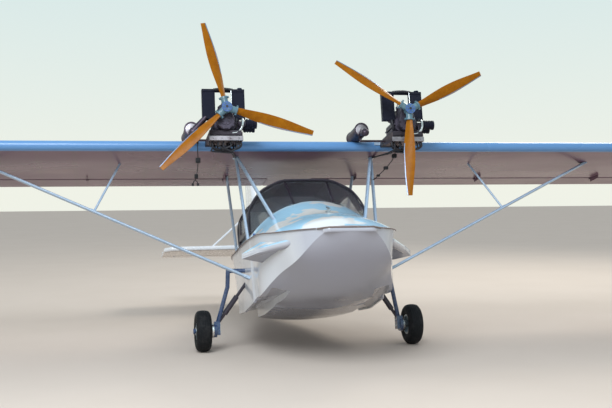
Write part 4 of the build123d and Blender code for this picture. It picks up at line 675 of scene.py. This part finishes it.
# Hoops over the cabin, one behind the windshield and one at the rear of the cabin
CABIN_ARCH = ((600, 905), (597, 1149), (483, 1337), (339, 1425), (226, 1462), (0, 1468))
HOOPS_Y, HOOP_R = (-167, 572), 10.5
HOOP_MIDDLE_Z, HOOP_SINK = 1080.0, 4.0
hoops = bmesh.new()
for y in HOOPS_Y:
    arch = [Vector((x, y, z)) for x, z in CABIN_ARCH]
    arch += [Vector((-p.x, y, p.z)) for p in reversed(arch[:-1])]
    middle = Vector((0, y, HOOP_MIDDLE_Z))
    hose(hoops, [p + (middle - p).normalized() * HOOP_SINK for p in arch], HOOP_R, 12, 8)
finish_piece("cabin_hoops", hoops, "black_frame", "airframe")

# Weld rings on the belly of each tuned pipe, and the plate on the end of its drum. The drums
# lie at x from the middle of their engine and z.
MUFFLER_PLACES = {"left": (-390.0, 1872.0), "right": (-295.0, 1868.0)}
BELLY_Y = -715.0
BELLY_R = 36.0
BELLY_DROP = 62.0
DRUM_END_Y = -593.0
for side, label in SIDES:
    x, z = MUFFLER_PLACES[label]
    weld = bmesh.new()
    for share, thick in ((0.45, 5.0), (0.80, 3.0)):
        radius = BELLY_R * math.sqrt(1 - share * share)
        turned(weld, (side * ENGINE_X + x, BELLY_Y - share * BELLY_R, z - BELLY_DROP),
               (0, -1, 0),
               ((-thick, radius), (-thick, radius + thick), (0, radius + thick),
                (thick, radius), (thick, radius - thick)), 36)
    finish_piece(f"silencer_rings_{label}", weld, "exhaust", "airframe")
    end = bmesh.new()
    turned(end, (side * ENGINE_X + x, DRUM_END_Y, z), (0, -1, 0),
           ((0, 57), (1, 57), (3, 50), (2, 24), (4, 18), (4, 9), (2, 6)), 40)
    finish_piece(f"silencer_end_{label}", end, "beam_metal", "airframe")

# Fuel and control lines from the pylon head to the tray under the engine
for side, label in SIDES:
    lines = bmesh.new()
    for shift, radius in ((0, 7), (16, 5)):
        hose(lines, ((side * (706 + shift), -150, 1696), (side * (735 + shift), -330, 1676),
                     (side * (780 + shift), -520, 1662 - shift / 2),
                     (side * (822 + shift), -640, 1676), (side * (845 + shift), -690, 1700)),
             radius)
    finish_piece(f"fuel_lines_{label}", lines, "hose", "airframe")

# Clamp blocks where the pylon struts meet under the wing, each with two bolts across
PYLON_X = 700.0
CLAMP_Y, CLAMP_Z = -128.0, 1712.0
for side, label in SIDES:
    clamp = bmesh.new()
    block(clamp, (side * PYLON_X, CLAMP_Y, CLAMP_Z), (58, 66, 44), edge=5)
    for y in (CLAMP_Y - 22, CLAMP_Y + 22):
        turned(clamp, (side * PYLON_X - 33, y, CLAMP_Z), (1, 0, 0),
               ((-6, 5), (-5, 9), (0, 9), (66, 9), (71, 9), (72, 5)), 6)
    finish_piece(f"pylon_clamp_{label}", clamp, "strut_paint", "airframe")

# Seal along the foot of the windshield: the outermost of its points on the deck in each step
# of angle about a point on the centre line
SEAL_Y, SEAL_STEP = -60.0, 4.0
SEAL_REACH = 0.0015
shield = nodes["windshield"]
deck_tree = BVHTree.FromObject(nodes["deck"], bpy.context.evaluated_depsgraph_get())
foot = {}
for vert in shield.data.vertices:
    near = deck_tree.find_nearest(vert.co, SEAL_REACH)
    if near[0] is None:
        continue
    p = TO_LEVEL @ vert.co
    step = round(math.degrees(math.atan2(p.x, SEAL_Y - p.y)) / SEAL_STEP)
    reach = math.hypot(p.x, p.y - SEAL_Y)
    if step not in foot or reach > foot[step][0]:
        foot[step] = (reach, p)
seal = bmesh.new()
seal_line = [foot[k][1] for k in sorted(foot)]
hose(seal, seal_line, 6.0, 10, 3)
finish_piece("windshield_seal", seal, "hose", "airframe")

# Latches where the posts meet the front bow, and an eye at each edge of the deck
latches = bmesh.new()
for side, _ in SIDES:
    top = Vector((side * 213, -150, 1462))
    block(latches, top, (46, 40, 16), (1, 0.1 * side, 0), (0, -0.3, 1), 3)
    block(latches, top + Vector((side * 6, -24, 6)), (12, 42, 10), (1, 0, 0), (0, -0.2, 1), 3)
    turned(latches, top + Vector((-side * 12, 4, 8)), (0, -0.3, 1), ((0, 8), (5, 8), (7, 6)), 16)
finish_piece("canopy_latches", latches, "black_frame", "airframe")
eyes = bmesh.new()
for side, _ in SIDES:
    met = surface("deck", (side * RAY_X, -700, 822), (-side, 0, 0))
    if met:
        turned(eyes, met[0], met[1], ((0, 20), (3, 20), (5, 17), (6, 11), (16, 10), (19, 7)), 24)
finish_piece("deck_eyes", eyes, "gear_light", "airframe")

# Strut ends: fork plates with their bolts at hull and wing, and the joints of the pylon
STRUT_LOW, STRUT_HIGH = Vector((600, -390, 440)), Vector((3190, 52, 1702))
JURY_SHARE = 0.575
FORK = (86, 26, 5)
FORK_IN, FORK_HALF_GAP, FORK_BOLT = 62.0, 33.0, 22.0
FORK_FACE = FORK_HALF_GAP + FORK[2] / 2
forks = bmesh.new()
for side, _ in SIDES:
    flip = Vector((side, 1, 1))
    low, high = STRUT_LOW * flip, STRUT_HIGH * flip
    way = (high - low).normalized()
    for end, inward in ((low, 1), (high, -1)):
        centre = end + way * (inward * FORK_IN)
        normal = Vector((0, 1, 0)) - way * way.y
        for turn in (-1, 1):
            block(forks, centre + normal * (turn * FORK_HALF_GAP), FORK, way, normal)
            for shift in (-FORK_BOLT, FORK_BOLT):
                bolt(forks, centre + way * shift + normal * (turn * FORK_FACE), normal * turn,
                     8, 6, 6.5)
    jury = low + (high - low) * JURY_SHARE
    block(forks, jury + Vector((0, 0, 14)), (60, 34, 12), way, Vector((0, 0, 1)) - way * way.z, 3)
    turned(forks, (side * PYLON_X, -168, 1724), (0, -1, 0.2),
           ((0, 17), (10, 17), (13, 14), (13, 6)), 24)
    block(forks, (side * (PYLON_X + 4), -392, 1792), (72, 46, 5), (1, 0, 0), (0, -1, 0))
finish_piece("strut_forks", forks, "strut_paint", "airframe")

# Wheels: rim bolts, tyre valve and the bright band of each brake drum
TRACK = 2120.0
NUT_R, NUT_X = 62.0, 25.0
KNUCKLE_IN = 135.0
for side, label in SIDES:
    hub = Vector((side * TRACK / 2, 0, 0))
    nuts = bmesh.new()
    for i in range(6):
        a = math.radians(60 * i + 15)
        spoke = Vector((0, math.cos(a), math.sin(a)))
        for face in (-1, 1):
            bolt(nuts, hub + spoke * NUT_R + Vector((face * NUT_X, 0, 0)), (face, 0, 0), 9, 7, 8)
    hose(nuts, (hub + Vector((side * 26, 0, 78)), hub + Vector((side * 40, 0, 80)),
                hub + Vector((side * 58, 0, 78))), 4, 10, 3)
    finish_piece(f"wheel_nuts_{label}", nuts, "bare_metal", f"wheel_{label}")
    knuckle = Vector((side * (TRACK / 2 - KNUCKLE_IN), 0, 0))
    drum = bmesh.new()
    turned(drum, knuckle + Vector((side * 32, 0, 0)), (side, 0, 0),
           ((0, 66.2), (0, 67.4), (16, 67.4), (16, 66.2)), 40)
    for i in range(4):
        a = math.radians(90 * i + 45)
        bolt(drum, knuckle + Vector((-side * 30, 30 * math.cos(a), 20 + 44 * math.sin(a))),
             (-side, 0, 0), 8, 6, 6)
    finish_piece(f"brake_fittings_{label}", drum, "bright_pipe", "airframe")

# Instruments on the panel, facing the seats
PANEL_Y = -360.0
MARKS, MARKS_FROM, MARKS_STEP = 11, 225, 27
# Middle of each gauge across and up, and its radius
GAUGES = ((-215, 905, 40), (-120, 935, 40), (-25, 945, 40), (70, 940, 40), (160, 915, 34),
          (235, 880, 30), (-170, 815, 32), (-85, 835, 32), (0, 845, 32), (85, 835, 32))
bezels, faces, marks = bmesh.new(), bmesh.new(), bmesh.new()
for i, (x, z, radius) in enumerate(GAUGES):
    place = (x, PANEL_Y, z)
    turned(bezels, place, (0, 1, 0), ((0, radius), (7, radius), (9, radius - 2),
                                      (9, radius - 4.5), (4, radius - 6)), 36)
    turned(faces, (x, PANEL_Y + 2, z), (0, 1, 0), ((0, radius - 5), (3, radius - 5)), 36)
    for k in range(MARKS):
        out = clock(MARKS_FROM - MARKS_STEP * k)
        block(marks, Vector(place) + out * (radius - 10) + Vector((0, 5.3, 0)),
              (6.5 if k % 5 == 0 else 4, 1.6, 0.8), out, (0, 1, 0), 0.2)
    out = clock(MARKS_FROM - MARKS_STEP * ((3 * i) % 8))
    block(marks, Vector(place) + out * (radius * 0.3) + Vector((0, 6.4, 0)),
          (radius * 0.75, 2.2, 0.8), out, (0, 1, 0), 0.2)
finish_piece("gauge_bezels", bezels, "black_frame", "airframe")
finish_piece("gauge_dials", faces, "dial", "airframe")
finish_piece("gauge_marks", marks, "dial_mark", "airframe")
switches = bmesh.new()
for k in range(8):
    place = Vector((-150 + 40 * k, PANEL_Y, 785))
    turned(switches, place, (0, 1, 0), ((0, 8), (4, 8), (5, 6)), 6)
    turned(switches, place + Vector((0, 4, 0)), (0, 1, -0.5 if k % 3 else 0.5),
           ((0, 2.5), (14, 3.2), (17, 2.2)), 12)
finish_piece("panel_switches", switches, "bare_metal", "airframe")
grips = bmesh.new()
for side, _ in SIDES:
    turned(grips, (side * 180, -158, 768), (0, 0.1, 1),
           ((0, 17), (6, 19), (20, 16.5), (34, 18.5), (48, 16.5), (62, 18.5), (76, 16.5),
            (90, 18.5), (104, 17), (110, 12)), 20)
finish_piece("stick_grips", grips, "hose", "airframe")

# Free cables of the engines, on the same points as their solids, with their connectors
CABLE_R = 4.0
CABLES = {
    "right": ((-1117, -540, 1752), (-1116, -525, 1686), (-1112, -508, 1612), (-1114, -489, 1530),
              (-1124, -474, 1460), (-1140, -461, 1400)),
    "left": ((868, -480, 1744), (864, -474, 1695), (846, -464, 1632), (810, -436, 1572),
             (766, -376, 1522), (722, -312, 1480), (690, -262, 1452)),
}
CONNECTORS = {
    "right": (((-1117, -540, 1752), (18, 26, 24)), ((-1113, -501, 1585), (44, 36, 48)),
              ((-1130, -468, 1436), (34, 28, 40))),
    "left": (((868, -480, 1742), (20, 22, 16)), ((847, -465, 1640), (44, 34, 40)),
             ((775, -389, 1534), (42, 28, 30)), ((716, -304, 1476), (30, 24, 22))),
}
for _, label in SIDES:
    route = CABLES[label]
    line = bpy.data.curves.new(f"cable_run_{label}", "CURVE")
    line.dimensions = "3D"
    spline = line.splines.new("NURBS")
    spline.points.add(len(route) - 1)
    for point, place in zip(spline.points, route):
        point.co = (*at(*place), 1)
    spline.order_u = 3
    spline.use_endpoint_u = True
    spline.resolution_u = 12
    line.bevel_depth = CABLE_R / 1000
    line.bevel_resolution = 4
    line.use_fill_caps = True
    line.materials.append(MATS["cable_sheath"])
    cable = bpy.data.objects.new(f"cable_run_{label}", line)
    bpy.context.collection.objects.link(cable)
    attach(cable, "airframe")
    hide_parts(f"cable_{label}")
    plugs = bmesh.new()
    for place, sizes in CONNECTORS[label]:
        block(plugs, place, sizes, edge=2.5)
        for rib in (-0.25, 0.0, 0.25):
            block(plugs, Vector(place) + Vector((0, 0, rib * sizes[2])),
                  (sizes[0] + 2.4, sizes[1] + 2.4, 3), edge=0.8)
    end = Vector(route[-1])
    if label == "right":
        for spread in (-1, 1):
            low = end + Vector((spread * 22, 4, -28))
            hose(plugs, (end, end + Vector((spread * 14, 1, -10)), low), CABLE_R, 10, 5)
            turned(plugs, low, (spread * 4, 4, -22), ((0, 6), (3, 11), (24, 11), (27, 8)), 14)
    else:
        hose(plugs, (end + Vector((2, -8, 2)), end + Vector((-2, 14, -1)),
                     end + Vector((-6, 37, -3))), 6, 12, 4)
    boxes = finish_piece(f"connectors_{label}", plugs, "cable_sheath", "airframe")
    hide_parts(f"cable_connectors_{label}")

# Seat cushions, blown up as cloth from a slightly smaller form, then sewn into channels
SEAT_X, FLOOR_Z = 262.0, 290.0
PAD_SLACK = 9.0
PAD_CAP = 0.009
CHANNEL_X = (-108.0, 0.0, 108.0)
CHANNEL_DEPTH, CHANNEL_WIDTH = 6.0, 11.0
CHANNEL_END, CHANNEL_FADE = 26.0, 24.0
SEAT_TOP = FLOOR_Z + 138.3
BACK_START = 213.0
back_rise = Vector((0, 140, 733)).normalized()
back_front = Vector((0, -back_rise.z, back_rise.y))
PADS = (
    # name, middle, width, length, thickness, length direction, upper side
    ("seat_pad", Vector((0, 90, SEAT_TOP + 35)), 430, 390, 70,
     Vector((0, 1, 0)), Vector((0, 0, 1))),
    ("back_pad", Vector((0, 318, FLOOR_Z)) + back_rise * (BACK_START + 255) + back_front * 28.3,
     430, 510, 56, back_rise, back_front),
)


def blown(obj, cap, voxel=0.006, frames=20):
    """Swells a closed mesh as cloth under pressure; no point moves further than cap."""
    remesh = obj.modifiers.new("remesh", "REMESH")
    remesh.mode = "VOXEL"
    remesh.voxel_size = voxel
    graph = bpy.context.evaluated_depsgraph_get()
    still = bpy.data.meshes.new_from_object(obj.evaluated_get(graph))
    obj.modifiers.clear()
    obj.data = still
    cloth = obj.modifiers.new("cloth", "CLOTH")
    cloth.settings.use_pressure = True
    cloth.settings.uniform_pressure_force = 4.0
    cloth.settings.effector_weights.gravity = 0.0
    cloth.point_cache.frame_end = frames
    for step in range(1, frames + 1):
        bpy.context.scene.frame_set(step)
    graph = bpy.context.evaluated_depsgraph_get()
    swelled = bpy.data.meshes.new_from_object(obj.evaluated_get(graph))
    for rest, moved in zip(still.vertices, swelled.vertices):
        way = moved.co - rest.co
        if way.length > cap:
            way *= cap / way.length
        rest.co += way
    obj.modifiers.clear()
    bpy.data.meshes.remove(swelled)


for name, middle, width, length, thick, way, face in PADS:
    form = bmesh.new()
    block(form, middle, (width - 2 * PAD_SLACK, length - 2 * PAD_SLACK, thick - 2 * PAD_SLACK),
          (1, 0, 0), face, 14)
    pad = finish_piece(f"{name}_left", form, "seat_cover", "airframe")
    blown(pad, PAD_CAP)
    for vert in pad.data.vertices:
        p = TO_LEVEL @ vert.co - middle
        if p.dot(face) > 0:
            sunk = sum(math.exp(-((p.x - x) / CHANNEL_WIDTH) ** 2) for x in CHANNEL_X)
            ends = (length / 2 - CHANNEL_END - abs(p.dot(way))) / CHANNEL_FADE
            ends = min(1.0, max(0.0, ends))
            vert.co -= along(*face) * (CHANNEL_DEPTH * sunk * ends / 1000)
    soft = pad.modifiers.new("soft", "SUBSURF")
    soft.levels = soft.render_levels = 1
    graph = bpy.context.evaluated_depsgraph_get()
    smooth = bpy.data.meshes.new_from_object(pad.evaluated_get(graph))
    pad.modifiers.clear()
    smooth.polygons.foreach_set("use_smooth", [True] * len(smooth.polygons))
    smooth.materials.clear()
    smooth.materials.append(MATS["seat_cover"])
    # Known fault: the right pad is copied after the left one has moved, so it stands in the
    # middle of the cabin, at x = 0 and not at -SEAT_X.
    for side, label in SIDES:
        if label == "right":
            mesh = smooth.copy()
            pad = bpy.data.objects.new(f"{name}_right", mesh)
            bpy.context.collection.objects.link(pad)
            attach(pad, "airframe")
        else:
            mesh = smooth
            pad.data = mesh
        mesh.transform(Matrix.Translation((side * SEAT_X / 1000, 0, 0)))
        if name == "seat_pad":
            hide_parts(f"seat_cushions_{label}")

# Camera, on the photograph's station: metres from the ground under the main axle.
PHOTO_WIDTH, FOCAL_PIXELS = 612, 1000
EYE = Vector((-2.041, -9.708 - MIDDLE / 1000, 1.6))
HEADING, DIP, ROLL = math.radians(11.7), math.radians(1.0), math.radians(-0.3)
cam_data = bpy.data.cameras.new("camera")
cam_data.sensor_width = 36.0
cam_data.lens = cam_data.sensor_width * FOCAL_PIXELS / PHOTO_WIDTH
cam = bpy.data.objects.new("camera", cam_data)
bpy.context.collection.objects.link(cam)
aim = Vector((math.sin(HEADING), math.cos(HEADING), -math.tan(DIP)))
turn = aim.to_track_quat("-Z", "Y").to_matrix().to_4x4()
cam.matrix_world = Matrix.Translation(EYE) @ turn @ Matrix.Rotation(ROLL, 4, "Z")
bpy.context.scene.camera = cam

# Floor, soft studio light and a pale backdrop
FLOOR_REACH = 60
SKY_STRENGTH = 0.8
FADE_TOP = 0.3
floor_mesh = bpy.data.meshes.new("floor")
bm = bmesh.new()
bmesh.ops.create_grid(bm, x_segments=2, y_segments=2, size=FLOOR_REACH)
bm.to_mesh(floor_mesh)
bm.free()
floor = bpy.data.objects.new("floor", floor_mesh)
bpy.context.collection.objects.link(floor)
ground = Paint("floor", (0.60, 0.53, 0.46), 0.9)
ground.blend(ground.product(ground.ramp(ground.noise(0.8, 5.0), 0.4, 0.7), 0.3),
             (0.54, 0.47, 0.40))
floor_mesh.materials.append(ground.mat)

world = bpy.data.worlds.new("studio")
bpy.context.scene.world = world
world.use_nodes = True
tree = world.node_tree
light = tree.nodes["Background"]
light.inputs["Color"].default_value = (0.86, 0.90, 0.95, 1)
light.inputs["Strength"].default_value = SKY_STRENGTH
backdrop = tree.nodes.new("ShaderNodeBackground")
way = tree.nodes.new("ShaderNodeTexCoord")
height = tree.nodes.new("ShaderNodeSeparateXYZ")
fade = tree.nodes.new("ShaderNodeMix")
fade.data_type = "RGBA"
fade.inputs["A"].default_value = (0.87, 0.89, 0.80, 1)
fade.inputs["B"].default_value = (0.60, 0.78, 0.82, 1)
rise = tree.nodes.new("ShaderNodeMapRange")
rise.inputs["From Min"].default_value = 0.0
rise.inputs["From Max"].default_value = FADE_TOP
tree.links.new(way.outputs["Generated"], height.inputs["Vector"])
tree.links.new(height.outputs["Z"], rise.inputs["Value"])
tree.links.new(rise.outputs["Result"], fade.inputs["Factor"])
tree.links.new(fade.outputs["Result"], backdrop.inputs["Color"])


def larger(a, b):
    """Output of a world node that gives the larger of two values."""
    n = tree.nodes.new("ShaderNodeMath")
    n.operation = "MAXIMUM"
    tree.links.new(a, n.inputs[0])
    tree.links.new(b, n.inputs[1])
    return n.outputs[0]


# The backdrop is for rays from the camera and those mirrored or let through; light is plain
rays = tree.nodes.new("ShaderNodeLightPath").outputs
seen = larger(larger(rays["Is Camera Ray"], rays["Is Glossy Ray"]), rays["Is Transmission Ray"])
choice = tree.nodes.new("ShaderNodeMixShader")
tree.links.new(seen, choice.inputs["Fac"])
tree.links.new(light.outputs["Background"], choice.inputs[1])
tree.links.new(backdrop.outputs["Background"], choice.inputs[2])
tree.links.new(choice.outputs["Shader"], tree.nodes["World Output"].inputs["Surface"])


def lamp(name, place, target, size, power, color):
    """Round area lamp at a place in metres, facing a target."""
    data = bpy.data.lights.new(name, "AREA")
    data.shape = "DISK"
    data.size = size
    data.energy = power
    data.color = color
    obj = bpy.data.objects.new(name, data)
    bpy.context.collection.objects.link(obj)
    obj.matrix_world = Matrix.Translation(Vector(place)) @ (
        (Vector(target) - Vector(place)).to_track_quat("-Z", "Y").to_matrix().to_4x4())


lamp("key", place=(7, 6, 9), target=(0, 0, 1), size=5, power=620, color=(1, 0.95, 0.87))
lamp("fill", place=(-4, -9, 8), target=(0, -1.5, 1), size=6, power=950, color=(0.88, 0.94, 1))

bpy.context.scene.view_settings.view_transform = "Standard"
